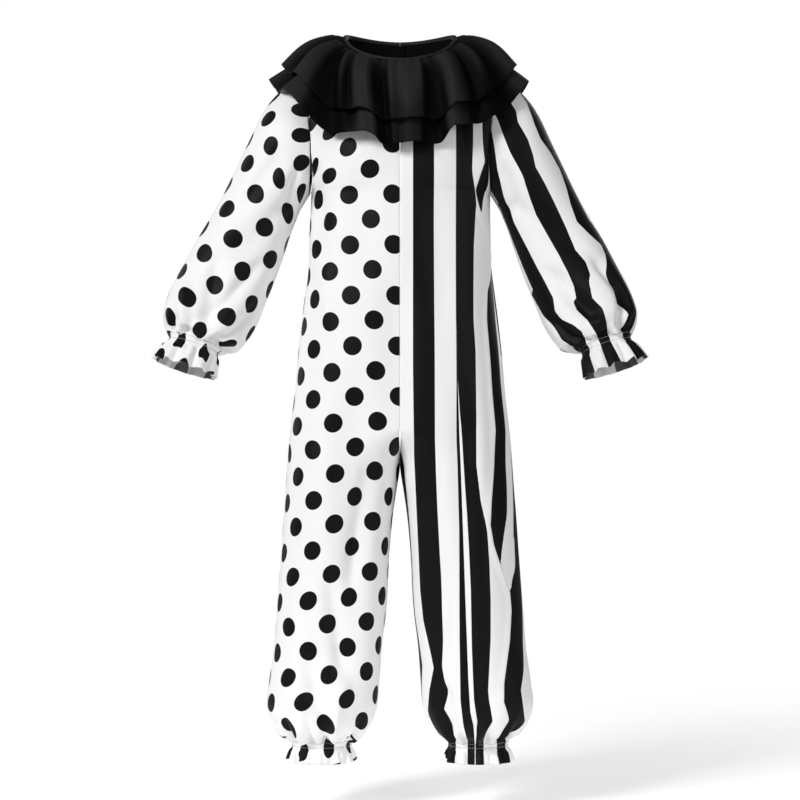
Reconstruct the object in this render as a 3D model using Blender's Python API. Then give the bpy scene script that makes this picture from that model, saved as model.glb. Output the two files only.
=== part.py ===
"""Child's clown jumpsuit with a two-tier ruffle collar, filled out as worn with nobody in it.

The wearer's right half is dotted cloth and the left half striped.  Four body panels run from
the shoulder to the ankle frill, two sleeves run from the armhole to the wrist frill, and two
gathered ruffles hang from a narrow neck binding.  Elastic draws in the wrists and ankles.

Metres, +Z up, front towards -Y.  The origin is the middle of the neck opening, where the
wearer's neck and shoulders hold the garment.
"""

import math
from collections import namedtuple

import bmesh
import bpy
import numpy as np

# ---------------------------------------------------------------- driving dimensions

CLOTH = 0.0015            # wall of the jumpsuit cloth
RUFFLE_CLOTH = 0.0012     # wall of the lighter collar cloth
FACING_CLOTH = 0.0010     # wall of the neck facing
SEAM_GAP = 0.0003         # clear space between two pieces at a seam

# Neck opening: an oval ring, lower at the front than at the sides and back.
NECK_HALF_WIDTH = 0.0725
NECK_FRONT_DEPTH = 0.066
NECK_BACK_DEPTH = 0.050
NECK_SIDE_HEIGHT = 0.012
NECK_FRONT_DROP = 0.038
NECK_BACK_HUMP = 0.004    # how much higher it stands halfway from each side to the back
NECK_FRONT_ROUND = 1.15   # 2 dips gently from the sides; less drops sooner, then runs flatter
NECK_TUCK = 0.0006        # how far the panels' raw edge ends below the neck ring

# How far the cloth leans away from straight down where it leaves the neck ring, by the
# angle round the neck: 0 is the centre front and 180 the centre back.
NECK_LEANS = ((0, 12), (45, 34), (90, 58), (135, 42), (180, 24))

# Armhole: an oval from the shoulder tip to the armpit, scooped in at mid height.
ARMHOLE_SCOOP = 0.007
SCOOP_ROWS = 3            # sleeve rows over which the scoop dies out
SLEEVE_SQUARE = 0.90      # 1 is an ellipse; less is squarer

# Body and leg sections, from the armpit down.
TORSO_SQUARE = 0.82       # at the chest
HIP_SQUARE = 0.62         # where the legs begin, so the front stays flat across both
LEG_SQUARE = 0.90
SPLIT_TOP = -0.490        # where the front starts to turn in between the legs
CROTCH_HEIGHT = -0.546

# Gathered edges.
ANKLE_WAVES = 12          # waves round one ankle
WRIST_WAVES = 12          # waves round one wrist
FRILL_WAVE = 0.0036       # half the height of a frill's wave at its hem
GATHER_WAVE = 0.0012      # half the height of the gathers just above the elastic
ELASTIC_WAVE = 0.0006     # the same along the elastic, which holds them flat
GATHER_FADE = 0.020       # height over which the gathers die out above the elastic
GATHER_START = 0.010      # height over which they grow to their full height
WRIST_FADE_ROWS = 1.2     # sleeve rows over which the wrist gathers die out
NECK_GATHERS = 28         # small gathers of the ruffles round the neck
NECK_GATHER_WAVE = 0.0008
NECK_GATHER_START = 0.08  # share of the longer ruffle over which they rise
NECK_PUFF = 0.0040        # how far the whole ruffle stands out a little below the neck
NECK_PUFF_REACH = 0.10    # share of the longer ruffle over which it rises
PUFF_SIDES = 0.1          # share of the puff that is left at the sides of the neck

# How finely the walls are cut.
NECK_COLUMNS = 6          # panel columns from the centre seam to the neck's side
SHOULDER_COLUMNS = 6      # panel columns along the shoulder seam
YOKE_ROWS = 8             # panel rows from the shoulder to the armpit
FRILL_SPLIT = 2           # columns become this many times finer at the ankle
WRIST_SPLIT = 3           # columns become this many times finer at the wrist
BEND_COLUMNS = 3          # ruffle columns from one crest or valley to the next
RUFFLE_ROWS = 5
RING_COLUMNS = 40         # cuts round the binding and the facing
FACING_ROWS = 2
SHARP_EDGE = math.radians(50)

# Panel sections: height, half width at the side seam, inner edge of the leg,
# depth in front of the side seam and depth behind it.
BodyRow = namedtuple("BodyRow", "height outer inner front back")
BODY = (
    BodyRow(-0.188, 0.1170, 0.0000, 0.080, 0.078),
    BodyRow(-0.225, 0.1172, 0.0000, 0.082, 0.075),
    BodyRow(-0.280, 0.1195, 0.0000, 0.084, 0.073),
    BodyRow(-0.338, 0.1262, 0.0000, 0.087, 0.077),
    BodyRow(-0.385, 0.1315, 0.0000, 0.089, 0.083),
    BodyRow(-0.447, 0.1368, 0.0000, 0.090, 0.091),
    BodyRow(-0.500, 0.1430, 0.0000, 0.089, 0.093),
    BodyRow(-0.546, 0.1468, 0.0004, 0.087, 0.091),
    BodyRow(-0.572, 0.1485, 0.0045, 0.084, 0.088),
    BodyRow(-0.603, 0.1508, 0.0090, 0.081, 0.084),
    BodyRow(-0.650, 0.1540, 0.0135, 0.078, 0.080),
    BodyRow(-0.728, 0.1600, 0.0178, 0.073, 0.076),
    BodyRow(-0.775, 0.1635, 0.0235, 0.071, 0.074),
    BodyRow(-0.825, 0.1705, 0.0272, 0.071, 0.073),
    BodyRow(-0.850, 0.1728, 0.0295, 0.071, 0.072),
    BodyRow(-0.870, 0.1670, 0.0355, 0.066, 0.067),
    BodyRow(-0.886, 0.1560, 0.0460, 0.055, 0.055),
    BodyRow(-0.899, 0.1430, 0.0600, 0.0385, 0.0385),
    BodyRow(-0.906, 0.1430, 0.0600, 0.0385, 0.0385),
    BodyRow(-0.914, 0.1440, 0.0598, 0.0392, 0.0392),
    BodyRow(-0.923, 0.1455, 0.0588, 0.0405, 0.0405),
)
ARMPIT_HEIGHT = BODY[0].height
ELASTIC_TOP = -0.899
ELASTIC_BOTTOM = -0.906
HEM_HEIGHT = BODY[-1].height

# Heights at which the panels are cut into rows, below the armpit.
BODY_CUTS = (-0.228, -0.285, -0.345, -0.400, -0.450, -0.490, -0.512, -0.530, -0.546,
             -0.572, -0.630, -0.710, -0.790)
FRILL_CUTS = (-0.843, -0.870, -0.888, -0.899, -0.906, -0.914, -0.923)

# Sleeve sections in the order they are sewn, shoulder to wrist: the outer and the under
# edge seen from the front, how far forward the middle is, half the depth, and how far the
# section tips forward.
SleeveRow = namedtuple("SleeveRow", "top_x top_z under_x under_z middle_y half_depth tip")
SLEEVE = (
    SleeveRow(0.128, -0.034, 0.1170, -0.1880, 0.000, 0.056, 0),
    SleeveRow(0.149, -0.049, 0.1195, -0.1915, 0.000, 0.060, 0),
    SleeveRow(0.167, -0.067, 0.1225, -0.1960, 0.000, 0.062, 0),
    SleeveRow(0.181, -0.088, 0.1262, -0.2020, 0.000, 0.062, 0),
    SleeveRow(0.196, -0.120, 0.1300, -0.2085, 0.000, 0.061, 0),
    SleeveRow(0.211, -0.151, 0.1340, -0.2180, 0.000, 0.059, 0),
    SleeveRow(0.227, -0.184, 0.1400, -0.2330, 0.000, 0.057, 1),
    SleeveRow(0.244, -0.215, 0.1490, -0.2610, -0.001, 0.056, 4),
    SleeveRow(0.262, -0.246, 0.1610, -0.2960, -0.005, 0.056, 7),
    SleeveRow(0.278, -0.277, 0.1740, -0.3290, -0.011, 0.057, 10),
    SleeveRow(0.294, -0.308, 0.1865, -0.3610, -0.020, 0.058, 12),
    SleeveRow(0.304, -0.338, 0.2035, -0.3865, -0.031, 0.054, 13),
    SleeveRow(0.3035, -0.356, 0.2150, -0.3940, -0.037, 0.046, 13),
    SleeveRow(0.298, -0.372, 0.2285, -0.3945, -0.042, 0.034, 13),
    SleeveRow(0.3005, -0.380, 0.2315, -0.4020, -0.045, 0.034, 12),
    SleeveRow(0.3075, -0.391, 0.2335, -0.4135, -0.049, 0.038, 10),
    SleeveRow(0.3140, -0.402, 0.2360, -0.4265, -0.054, 0.042, 9),
)
SLEEVE_CUTS = (0, 1, 2, 3, 4.5, 6, 7, 8, 9, 10)
WRIST_CUTS = (11, 12, 12.6, 13, 14, 15, 16)
WRIST_ELASTIC = 13        # the sleeve row at the top of the wrist elastic

# Soft folds of the panels: which panel, how far from the centre they start and end,
# between which heights, how deep (a trough is negative) and how wide.
Fold = namedtuple("Fold", "panel start end top bottom depth width")
FOLDS = (
    Fold("front_left", 0.075, 0.088, -0.400, -0.895, -0.0060, 0.014),
    Fold("front_left", 0.098, 0.112, -0.380, -0.885, 0.0030, 0.018),
    Fold("front_left", 0.108, 0.128, -0.235, -0.620, -0.0040, 0.018),
    Fold("front_left", 0.050, 0.056, -0.560, -0.885, -0.0025, 0.016),
    Fold("front_right", 0.104, 0.116, -0.230, -0.500, -0.0030, 0.018),
    Fold("front_right", 0.118, 0.098, -0.600, -0.885, -0.0045, 0.020),
    Fold("front_right", 0.052, 0.058, -0.570, -0.880, -0.0030, 0.016),
    Fold("back_left", 0.108, 0.100, -0.520, -0.885, -0.0050, 0.020),
    Fold("back_left", 0.098, 0.088, -0.230, -0.430, -0.0035, 0.020),
    Fold("back_left", 0.050, 0.056, -0.580, -0.880, -0.0030, 0.018),
    Fold("back_right", 0.104, 0.098, -0.500, -0.885, -0.0045, 0.020),
    Fold("back_right", 0.096, 0.084, -0.240, -0.450, -0.0035, 0.020),
    Fold("back_right", 0.056, 0.060, -0.570, -0.880, -0.0030, 0.018),
)

# Soft folds of the sleeves: wearer's side, angle round the sleeve at the start and the end
# (0 outer edge, 90 front, 180 under), sleeve rows they run between, depth and width.
SleeveFold = namedtuple("SleeveFold", "side start end first last depth width")
SLEEVE_FOLDS = (
    SleeveFold("left", 150, 60, 4, 9, -0.0040, 16),
    SleeveFold("left", 110, 95, 8, 12.8, -0.0035, 18),
    SleeveFold("left", 250, 300, 4, 9, -0.0035, 18),
    SleeveFold("right", 145, 80, 4, 9, -0.0040, 16),
    SleeveFold("right", 60, 75, 8, 12.8, -0.0035, 18),
    SleeveFold("right", 240, 290, 4, 9, -0.0035, 18),
)

FOLD_END = 0.28               # share of a fold's length over which it rises and dies out

# Ruffle hems, by the angle round the neck: 0 is the centre front and 180 the centre back.
# Bulge is how far the ruffle stands above a straight line from the neck to its hem.
HemPoint = namedtuple("HemPoint", "angle side forward height bulge")
LOWER_HEM = (
    HemPoint(0, 0.000, 0.100, -0.131, 0.008),
    HemPoint(30, 0.071, 0.0965, -0.114, 0.008),
    HemPoint(60, 0.134, 0.0765, -0.079, 0.004),
    HemPoint(90, 0.167, 0.000, -0.047, 0.001),
    HemPoint(120, 0.138, -0.0735, -0.063, 0.003),
    HemPoint(150, 0.074, -0.0985, -0.088, 0.006),
    HemPoint(180, 0.000, -0.102, -0.100, 0.006),
)
UPPER_HEM = (
    HemPoint(0, 0.000, 0.105, -0.101, 0.011),
    HemPoint(30, 0.070, 0.098, -0.085, 0.012),
    HemPoint(60, 0.121, 0.071, -0.054, 0.010),
    HemPoint(90, 0.150, 0.000, -0.026, 0.010),
    HemPoint(120, 0.122, -0.067, -0.036, 0.011),
    HemPoint(150, 0.070, -0.093, -0.060, 0.014),
    HemPoint(180, 0.000, -0.101, -0.070, 0.012),
)
LOWER_NECK_OFFSET = 0.0016    # middle of the lower ruffle's wall, out from the neck ring
UPPER_NECK_OFFSET = 0.0046
UPPER_LENGTH = 0.80           # length of the upper tier against the lower one

# Flutes of the ruffles, crests and valleys in turn: where each starts at the neck, where it
# runs to at the longer ruffle's hem (both as angles round the neck), and its height.
Bend = namedtuple("Bend", "neck hem height")
BENDS = (
    Bend(-204, -204, -0.9), Bend(-190, -190, 0.7), Bend(-176, -176, -0.7), Bend(-163, -163, 0.8),
    Bend(-149, -150, -0.9), Bend(-135, -137, 0.9), Bend(-121, -123, -0.9), Bend(-109, -110, 0.7),
    Bend(-99, -98, -0.5), Bend(-89, -87, 0.6), Bend(-77, -75, -0.5), Bend(-66, -61, 1.1),
    Bend(-61, -51, -0.8), Bend(-56, -39, -1.0), Bend(-48, -29, 0.7), Bend(-43, -23, -0.1),
    Bend(-37, -18, 0.7), Bend(-27, -13.5, 0.6), Bend(-21, -10, -1.0), Bend(-14, -6, -1.0),
    Bend(-8, -3, 0.6), Bend(-2, 0, 0.2), Bend(6, 5, 0.7), Bend(15, 10.5, 0.6),
    Bend(21, 15, -0.8), Bend(28, 21, -0.8), Bend(37, 28, 0.9), Bend(46, 36, 0.2),
    Bend(55, 43, -0.7), Bend(63, 51, 0.6), Bend(75, 63, -0.5), Bend(87, 76, 0.7),
    Bend(99, 90, -0.6), Bend(110, 103, 0.9), Bend(123, 118, -0.9), Bend(136, 133, 0.9),
    Bend(149, 148, -0.9), Bend(163, 163, 0.8), Bend(176, 176, -0.7), Bend(190, 190, 0.7),
    Bend(204, 204, -0.9),
)
FLUTE_WAVE = 0.0160           # how far a crest of height 1 would stand out at the hem
FLUTE_START = 0.10            # share of the longer ruffle over which a flute begins
FLUTE_GROWTH = 0.5            # 1 lets it grow evenly from there; less swells it early
FLUTE_KEPT = 0.4              # share of a flute that is left at the hems, where it opens out
FLUTE_FADE = (0.35, 0.85)     # share of the longer ruffle over which it opens out

# Broad waves that the hems hang in: angle at the hem, and height of the wave there.
HemWave = namedtuple("HemWave", "angle height")
HEM_WAVES = (
    HemWave(-210, 0.6), HemWave(-190, -0.6), HemWave(-170, 0.6), HemWave(-150, -0.5),
    HemWave(-130, 0.6), HemWave(-112, -0.6), HemWave(-92, 0.5), HemWave(-80, 0.1),
    HemWave(-68, 0.6), HemWave(-53, 0.0), HemWave(-39, -0.9), HemWave(-31, -0.6),
    HemWave(-20, 0.5), HemWave(-14, 0.4), HemWave(-8, -0.3), HemWave(0, -0.1),
    HemWave(10, -0.2), HemWave(17, -0.7), HemWave(22, -0.8), HemWave(28, 0.3), HemWave(36, 0.0),
    HemWave(50, -0.7), HemWave(64, -0.4), HemWave(80, 0.5), HemWave(92, 0.6),
    HemWave(110, -0.6), HemWave(130, 0.6), HemWave(150, -0.6), HemWave(170, 0.6),
    HemWave(190, -0.6), HemWave(210, 0.6),
)
HEM_WAVE_OUT = 0.0070         # how far a broad wave of height 1 stands out at the hem
HEM_WAVE_RISE = 0.0080        # how much higher the hem hangs there
BULGE_OUT = 0.5               # the way a ruffle bulges: so far out for each step up
BULGE_UP = 0.9
BULGE_EARLY = 0.8             # less than 1 brings the bulge nearer to the neck
NECK_BLEND = 0.25             # share of a ruffle over which it leaves the neck's own slope
BACK_OPENING = 0.8            # angle between each ruffle end and the centre back
BAND_OPENING = 0.3            # the same for the ends of the binding and the facing

BINDING_HALF_HEIGHT = 0.0024
BINDING_HALF_WIDTH = 0.0038
BINDING_OUT = 0.0016          # how far the binding's middle lies outside the neck ring
BINDING_SIDES = 8
BINDING_SQUARE = 0.7
FACING_DEPTH = 0.024
FACING_GAP = 0.0012           # between the panels' inner face and the facing

# ---------------------------------------------------------------- colours

Finish = namedtuple("Finish", "name colour roughness")
DOTTED_CLOTH = Finish("dotted_cloth", (0.86, 0.86, 0.87, 1.0), 0.55)
STRIPED_CLOTH = Finish("striped_cloth", (0.45, 0.45, 0.46, 1.0), 0.55)
RUFFLE_BLACK = Finish("ruffle_cloth", (0.012, 0.012, 0.013, 1.0), 0.70)
BINDING_BLACK = Finish("binding_cloth", (0.018, 0.018, 0.019, 1.0), 0.55)


# ---------------------------------------------------------------- small tools

def smooth_curve(places, values):
    """Return a function that passes smoothly through values given at rising places."""
    places = np.array(places, dtype=float)
    values = np.array(values, dtype=float)
    slopes = np.gradient(values, places)

    def read(place):
        place = min(max(place, places[0]), places[-1])
        left = min(int(np.searchsorted(places, place, side="right")) - 1, len(places) - 2)
        span = places[left + 1] - places[left]
        part = (place - places[left]) / span
        rise = values[left + 1] - values[left]
        start = slopes[left] * span
        end = slopes[left + 1] * span
        return (values[left] + start * part
                + (3 * rise - 2 * start - end) * part ** 2
                + (start + end - 2 * rise) * part ** 3)

    return read


def ease(part):
    """Smooth step from 0 to 1."""
    part = min(max(part, 0.0), 1.0)
    return part * part * (3 - 2 * part)


def rounded(value, square):
    """A sine or cosine pushed outwards, which turns an ellipse into a rounded box."""
    return math.copysign(abs(value) ** square, value)


def unit(vector):
    """The vector with a length of 1."""
    return vector / max(float(np.linalg.norm(vector)), 1e-12)


def grid_normals(rows, wraps):
    """Outward normals of a grid of points, rows running down and columns anticlockwise."""
    normals = []
    for index, row in enumerate(rows):
        above = rows[max(index - 1, 0)]
        below = rows[min(index + 1, len(rows) - 1)]
        count = len(row)
        line = []
        for column in range(count):
            if wraps:
                left, right = row[(column - 1) % count], row[(column + 1) % count]
            else:
                left, right = row[max(column - 1, 0)], row[min(column + 1, count - 1)]
            across = right - left
            down = same_column(below, column, count) - same_column(above, column, count)
            line.append(unit(np.cross(down, across)))
        normals.append(line)
    return normals


def same_column(row, column, count):
    """The point of another row that lies in line with a column, when one row is finer."""
    last, other_last = count - 1, len(row) - 1
    if len(row) == count:
        return row[column]
    if len(row) % count == 0:
        return row[column * len(row) // count]
    if count % len(row) == 0:
        place = column * len(row) / count
        low = int(place)
        part = place - low
        return row[low] * (1 - part) + row[(low + 1) % len(row)] * part
    place = column * other_last / last
    low = min(int(place), other_last - 1)
    part = place - low
    return row[low] * (1 - part) + row[low + 1] * part


def stitch(bm, coarse, fine, wraps):
    """Fill the strip between two rows of vertices; the second may be several times finer."""
    pieces = len(coarse) if wraps else len(coarse) - 1
    split = (len(fine) if wraps else len(fine) - 1) // pieces
    for piece in range(pieces):
        start, end = coarse[piece], coarse[(piece + 1) % len(coarse)]
        run = [fine[(piece * split + step) % len(fine)] for step in range(split + 1)]
        turn = split // 2
        for step in range(turn):
            bm.faces.new((start, run[step + 1], run[step]))
        if split % 2:
            bm.faces.new((start, end, run[turn + 1], run[turn]))
            turn += 1
        else:
            bm.faces.new((start, end, run[turn]))
        for step in range(turn, split):
            bm.faces.new((end, run[step + 1], run[step]))


def add_material(finish):
    """One cloth material, made once and shared."""
    material = bpy.data.materials.get(finish.name)
    if material is None:
        material = bpy.data.materials.new(finish.name)
        material.use_nodes = True
        shader = material.node_tree.nodes["Principled BSDF"]
        shader.inputs["Base Color"].default_value = finish.colour
        shader.inputs["Roughness"].default_value = finish.roughness
        shader.inputs["Metallic"].default_value = 0.0
    return material


def add_piece(name, bm, finish):
    """Turn finished faces into a named solid with its cloth's material."""
    bmesh.ops.recalc_face_normals(bm, faces=bm.faces)
    mesh = bpy.data.meshes.new(name)
    bm.to_mesh(mesh)
    bm.free()
    mesh.shade_smooth()
    mesh.set_sharp_from_angle(angle=SHARP_EDGE)
    mesh.materials.append(add_material(finish))
    piece = bpy.data.objects.new(name, mesh)
    bpy.context.scene.collection.objects.link(piece)


def add_wall(name, outside, inside, wraps, finish):
    """A closed wall of cloth between an outside and an inside grid of points."""
    bm = bmesh.new()
    faces_of_cloth = []
    for grid in (outside, inside):
        faces_of_cloth.append([[bm.verts.new(point) for point in row] for row in grid])
    for grid in faces_of_cloth:
        for upper, lower in zip(grid, grid[1:]):
            stitch(bm, upper, lower, wraps)
    outer, inner = faces_of_cloth
    stitch(bm, outer[0], inner[0], wraps)
    stitch(bm, outer[-1], inner[-1], wraps)
    if not wraps:
        for end in (0, -1):
            outer_edge = [row[end] for row in outer]
            inner_edge = [row[end] for row in inner]
            stitch(bm, outer_edge, inner_edge, False)
    add_piece(name, bm, finish)


# ---------------------------------------------------------------- neck and armhole

def neck_point(angle):
    """A point of the neck ring; 0 is the centre front, 90 the wearer's left side."""
    turn = math.radians(angle)
    forward = math.cos(turn)
    if forward > 0:
        depth, change = NECK_FRONT_DEPTH, -NECK_FRONT_DROP * forward ** NECK_FRONT_ROUND
    else:
        depth, change = NECK_BACK_DEPTH, 4 * NECK_BACK_HUMP * -forward * (1 + forward)
    return np.array((
        NECK_HALF_WIDTH * math.sin(turn),
        -depth * forward,
        NECK_SIDE_HEIGHT + change,
    ))


NECK_LEAN = smooth_curve([angle for angle, lean in NECK_LEANS],
                         [lean for angle, lean in NECK_LEANS])


def neck_directions(angle):
    """At a point of the neck ring: the way the cloth runs down, and the way it faces."""
    turn = math.radians(angle)
    level = unit(np.array((math.sin(turn) * NECK_FRONT_DEPTH,
                           -math.cos(turn) * NECK_HALF_WIDTH, 0)))
    lean = math.radians(NECK_LEAN(abs(angle)))
    up = np.array((0, 0, 1))
    down_cloth = level * math.sin(lean) - up * math.cos(lean)
    facing_out = level * math.cos(lean) + up * math.sin(lean)
    return down_cloth, facing_out


def sleeve_curves():
    """Smooth functions of the sleeve row, one for each column of the sleeve table."""
    steps = range(len(SLEEVE))
    return {name: smooth_curve(steps, [getattr(row, name) for row in SLEEVE])
            for name in SleeveRow._fields}


SLEEVE_CURVES = sleeve_curves()


def sleeve_point(step, angle):
    """A point of the left sleeve's outer face: 0 outer edge, 90 front, 180 under, 270 back."""
    size = {name: curve(step) for name, curve in SLEEVE_CURVES.items()}
    top = np.array((size["top_x"], 0.0, size["top_z"]))
    under = np.array((size["under_x"], 0.0, size["under_z"]))
    middle = (top + under) / 2 + np.array((0.0, size["middle_y"], 0.0))
    half = (top - under) / 2
    turn = math.radians(angle)
    tip = math.radians(size["tip"])
    along_back = unit(np.array((-half[2], 0.0, half[0])))
    forward = np.array((0.0, -math.cos(tip), 0.0)) + math.sin(tip) * along_back
    point = (middle + half * rounded(math.cos(turn), SLEEVE_SQUARE)
             + forward * size["half_depth"] * rounded(math.sin(turn), SLEEVE_SQUARE))
    scoop = ARMHOLE_SCOOP * max(0.0, 1 - step / SCOOP_ROWS) * math.sin(turn) ** 2
    point[0] -= scoop
    return point


# ---------------------------------------------------------------- body panels

def body_curves():
    """Smooth functions of the height, one for each column of the body table."""
    heights = [-row.height for row in BODY]
    return {name: smooth_curve(heights, [getattr(row, name) for row in BODY])
            for name in ("outer", "inner", "front", "back")}


BODY_CURVES = body_curves()


def oval_depth(side, square):
    """Depth of a rounded oval, from 1 in its middle to 0 at its ends, where side is 1."""
    return max(0.0, 1 - abs(side) ** (2 / square)) ** (square / 2)


def section_point(depth_name, share, height):
    """A point of a panel below the armpit: share 0 at the centre or inseam, 1 at the side.

    Above the split the section is a quarter of the torso's oval.  Below the crotch it is
    half of the leg's oval.  Between them the one turns into the other.
    """
    outer = BODY_CURVES["outer"](-height)
    inner = BODY_CURVES["inner"](-height)
    depth = BODY_CURVES[depth_name](-height)
    split = ease((SPLIT_TOP - height) / (SPLIT_TOP - CROTCH_HEIGHT))
    fall = ease((ARMPIT_HEIGHT - height) / (ARMPIT_HEIGHT - SPLIT_TOP))
    torso_square = TORSO_SQUARE + (HIP_SQUARE - TORSO_SQUARE) * fall
    middle = (outer + inner) / 2
    half = (outer - inner) / 2
    torso_side = outer * rounded(math.sin(share * math.pi / 2), torso_square)
    leg_side = middle - half * rounded(math.cos(share * math.pi), LEG_SQUARE)
    side = torso_side * (1 - split) + leg_side * split
    torso_part = oval_depth(side / outer, torso_square)
    leg_part = oval_depth((side - middle) / half, LEG_SQUARE)
    forward = -1 if depth_name == "front" else 1
    part = torso_part * (1 - split) + leg_part * split
    return np.array((side, forward * depth * part, height))


def yoke_point(depth_name, share, drop):
    """A point of a panel above the armpit: drop 0 at the neck and shoulder, 1 at the armpit.

    The face is stretched between four edges: the centre seam, the armhole, the neckline
    with the shoulder seam, and the section at the armpit.
    """
    front = depth_name == "front"
    neck_share = NECK_COLUMNS / (NECK_COLUMNS + SHOULDER_COLUMNS)
    neck_side = neck_point(90)
    shoulder_tip = sleeve_point(0, 0)

    def top_edge(place):
        if place <= neck_share:
            angle = 90 * place / neck_share
            return neck_point(angle if front else 180 - angle)
        part = (place - neck_share) / (1 - neck_share)
        return neck_side * (1 - part) + shoulder_tip * part

    def centre_edge(place):
        start = top_edge(0.0)
        end = section_point(depth_name, 0.0, ARMPIT_HEIGHT)
        bend = math.sin(place * math.pi / 2)
        return np.array((0.0, start[1] + (end[1] - start[1]) * bend,
                         start[2] + (end[2] - start[2]) * place))

    def armhole_edge(place):
        angle = 180 * place
        return sleeve_point(0, angle if front else 360 - angle)

    def bottom_edge(place):
        return section_point(depth_name, place, ARMPIT_HEIGHT)

    between_rows = top_edge(share) * (1 - drop) + bottom_edge(share) * drop
    between_sides = centre_edge(drop) * (1 - share) + armhole_edge(drop) * share
    corners = ((1 - share) * (1 - drop) * top_edge(0.0)
               + share * (1 - drop) * top_edge(1.0)
               + (1 - share) * drop * bottom_edge(0.0)
               + share * drop * bottom_edge(1.0))
    return between_rows + between_sides - corners


def gather_wave(share, height):
    """How far a panel stands out in the gathers round the ankle elastic."""
    wave = math.cos(math.pi * ANKLE_WAVES * share)
    if height < ELASTIC_BOTTOM:
        grow = (ELASTIC_BOTTOM - height) / (ELASTIC_BOTTOM - HEM_HEIGHT)
        return wave * (ELASTIC_WAVE + (FRILL_WAVE - ELASTIC_WAVE) * grow)
    if height <= ELASTIC_TOP:
        return wave * ELASTIC_WAVE
    above = height - ELASTIC_TOP
    full = ELASTIC_WAVE + (GATHER_WAVE - ELASTIC_WAVE) * ease(above / GATHER_START)
    return wave * full * math.exp(-above / GATHER_FADE)


def fold_depth(panel, side, height):
    """How far a panel's folds move it out or in at one place."""
    moved = 0.0
    for fold in FOLDS:
        if fold.panel != panel or not fold.bottom < height < fold.top:
            continue
        run = (fold.top - height) / (fold.top - fold.bottom)
        middle = fold.start + (fold.end - fold.start) * run
        across = math.exp(-((side - middle) / fold.width) ** 2)
        moved += fold.depth * across * ease(run / FOLD_END) * ease((1 - run) / FOLD_END)
    return moved


def panel_grid(panel):
    """Rows of points on a panel's outer face, worked out for the wearer's left side."""
    depth_name = "front" if panel.startswith("front") else "back"
    columns = NECK_COLUMNS + SHOULDER_COLUMNS
    rows = []
    heights = []
    for row in range(YOKE_ROWS + 1):
        drop = row / YOKE_ROWS
        rows.append([yoke_point(depth_name, column / columns, drop)
                     for column in range(columns + 1)])
        heights.append(None)
    for height in BODY_CUTS:
        rows.append([section_point(depth_name, column / columns, height)
                     for column in range(columns + 1)])
        heights.append(height)
    fine = columns * FRILL_SPLIT
    for height in FRILL_CUTS:
        rows.append([section_point(depth_name, column / fine, height)
                     for column in range(fine + 1)])
        heights.append(height)
    return rows, heights


def seam_normals(normals, depth_name):
    """Turn the normals at a panel's edges so that its wall stays on its own side of the seam.

    The panel is worked out as the left front one here, in the quarter of +X and -Y.
    """
    crotch_row = YOKE_ROWS + 1 + BODY_CUTS.index(CROTCH_HEIGHT)
    for index, line in enumerate(normals):
        centre, side = line[0], line[-1]
        if index < crotch_row:
            centre[0] = 0.0
        elif index > crotch_row:
            centre[1] = 0.0
        if 0 < index < YOKE_ROWS:
            side[0] = max(side[0], 0.0)
        else:
            side[1] = 0.0
        line[0] = unit(centre)
        line[-1] = unit(side)
    normals[crotch_row][0] = np.array((0.0, 0.0, -1.0))
    normals[YOKE_ROWS][-1] = np.array((1.0, 0.0, 0.0))
    for normal in normals[0][NECK_COLUMNS:]:
        normal[1] = 0.0
    for column in range(NECK_COLUMNS + 1):
        angle = 90 * column / NECK_COLUMNS
        neck_normal = neck_directions(angle if depth_name == "front" else 180 - angle)[1]
        neck_normal[1] = -abs(neck_normal[1])
        if column == NECK_COLUMNS:
            neck_normal[1] = 0.0
        normals[0][column] = unit(neck_normal)


def keep_clear(point):
    """Hold a point half a seam gap inside the quarter of +X and -Y."""
    point[0] = max(point[0], SEAM_GAP / 2)
    point[1] = min(point[1], -SEAM_GAP / 2)


def build_panel(panel, finish):
    """One body panel: the wall between its outer face and the same face moved in."""
    depth_name = "front" if panel.startswith("front") else "back"
    rows, heights = panel_grid(panel)
    if depth_name == "back":
        rows = [[point * np.array((1, -1, 1)) for point in row] for row in rows]
    normals = grid_normals(rows, False)
    seam_normals(normals, depth_name)
    outside, inside = [], []
    for row, line, height in zip(rows, normals, heights):
        outer_row, inner_row = [], []
        last = len(row) - 1
        for column, (point, normal) in enumerate(zip(row, line)):
            share = column / last
            moved = 0.0
            if height is not None:
                moved = fold_depth(panel, point[0], height) + gather_wave(share, height)
            outer_row.append(point + normal * moved)
            inner_row.append(point + normal * (moved - CLOTH))
        outside.append(outer_row)
        inside.append(inner_row)
    armhole_rows = range(YOKE_ROWS + 1)
    for grid in (outside, inside):
        for point in grid[0][:NECK_COLUMNS + 1]:
            point[2] -= NECK_TUCK
        for row in grid:
            for point in row:
                keep_clear(point)
        for row in armhole_rows:
            grid[row][-1][0] -= SEAM_GAP / 2
    flip = np.array((
        -1 if panel.endswith("right") else 1,
        -1 if depth_name == "back" else 1,
        1,
    ))
    outside = [[point * flip for point in row] for row in outside]
    inside = [[point * flip for point in row] for row in inside]
    add_wall(panel, outside, inside, False, finish)


# ---------------------------------------------------------------- sleeves

def sleeve_fold(side, angle, step):
    """How far a sleeve's folds move it in at one place."""
    moved = 0.0
    for fold in SLEEVE_FOLDS:
        if fold.side != side or not fold.first < step < fold.last:
            continue
        run = (step - fold.first) / (fold.last - fold.first)
        middle = fold.start + (fold.end - fold.start) * run
        away = (angle - middle + 180) % 360 - 180
        across = math.exp(-(away / fold.width) ** 2)
        moved += fold.depth * across * ease(run / FOLD_END) * ease((1 - run) / FOLD_END)
    return moved


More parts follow.
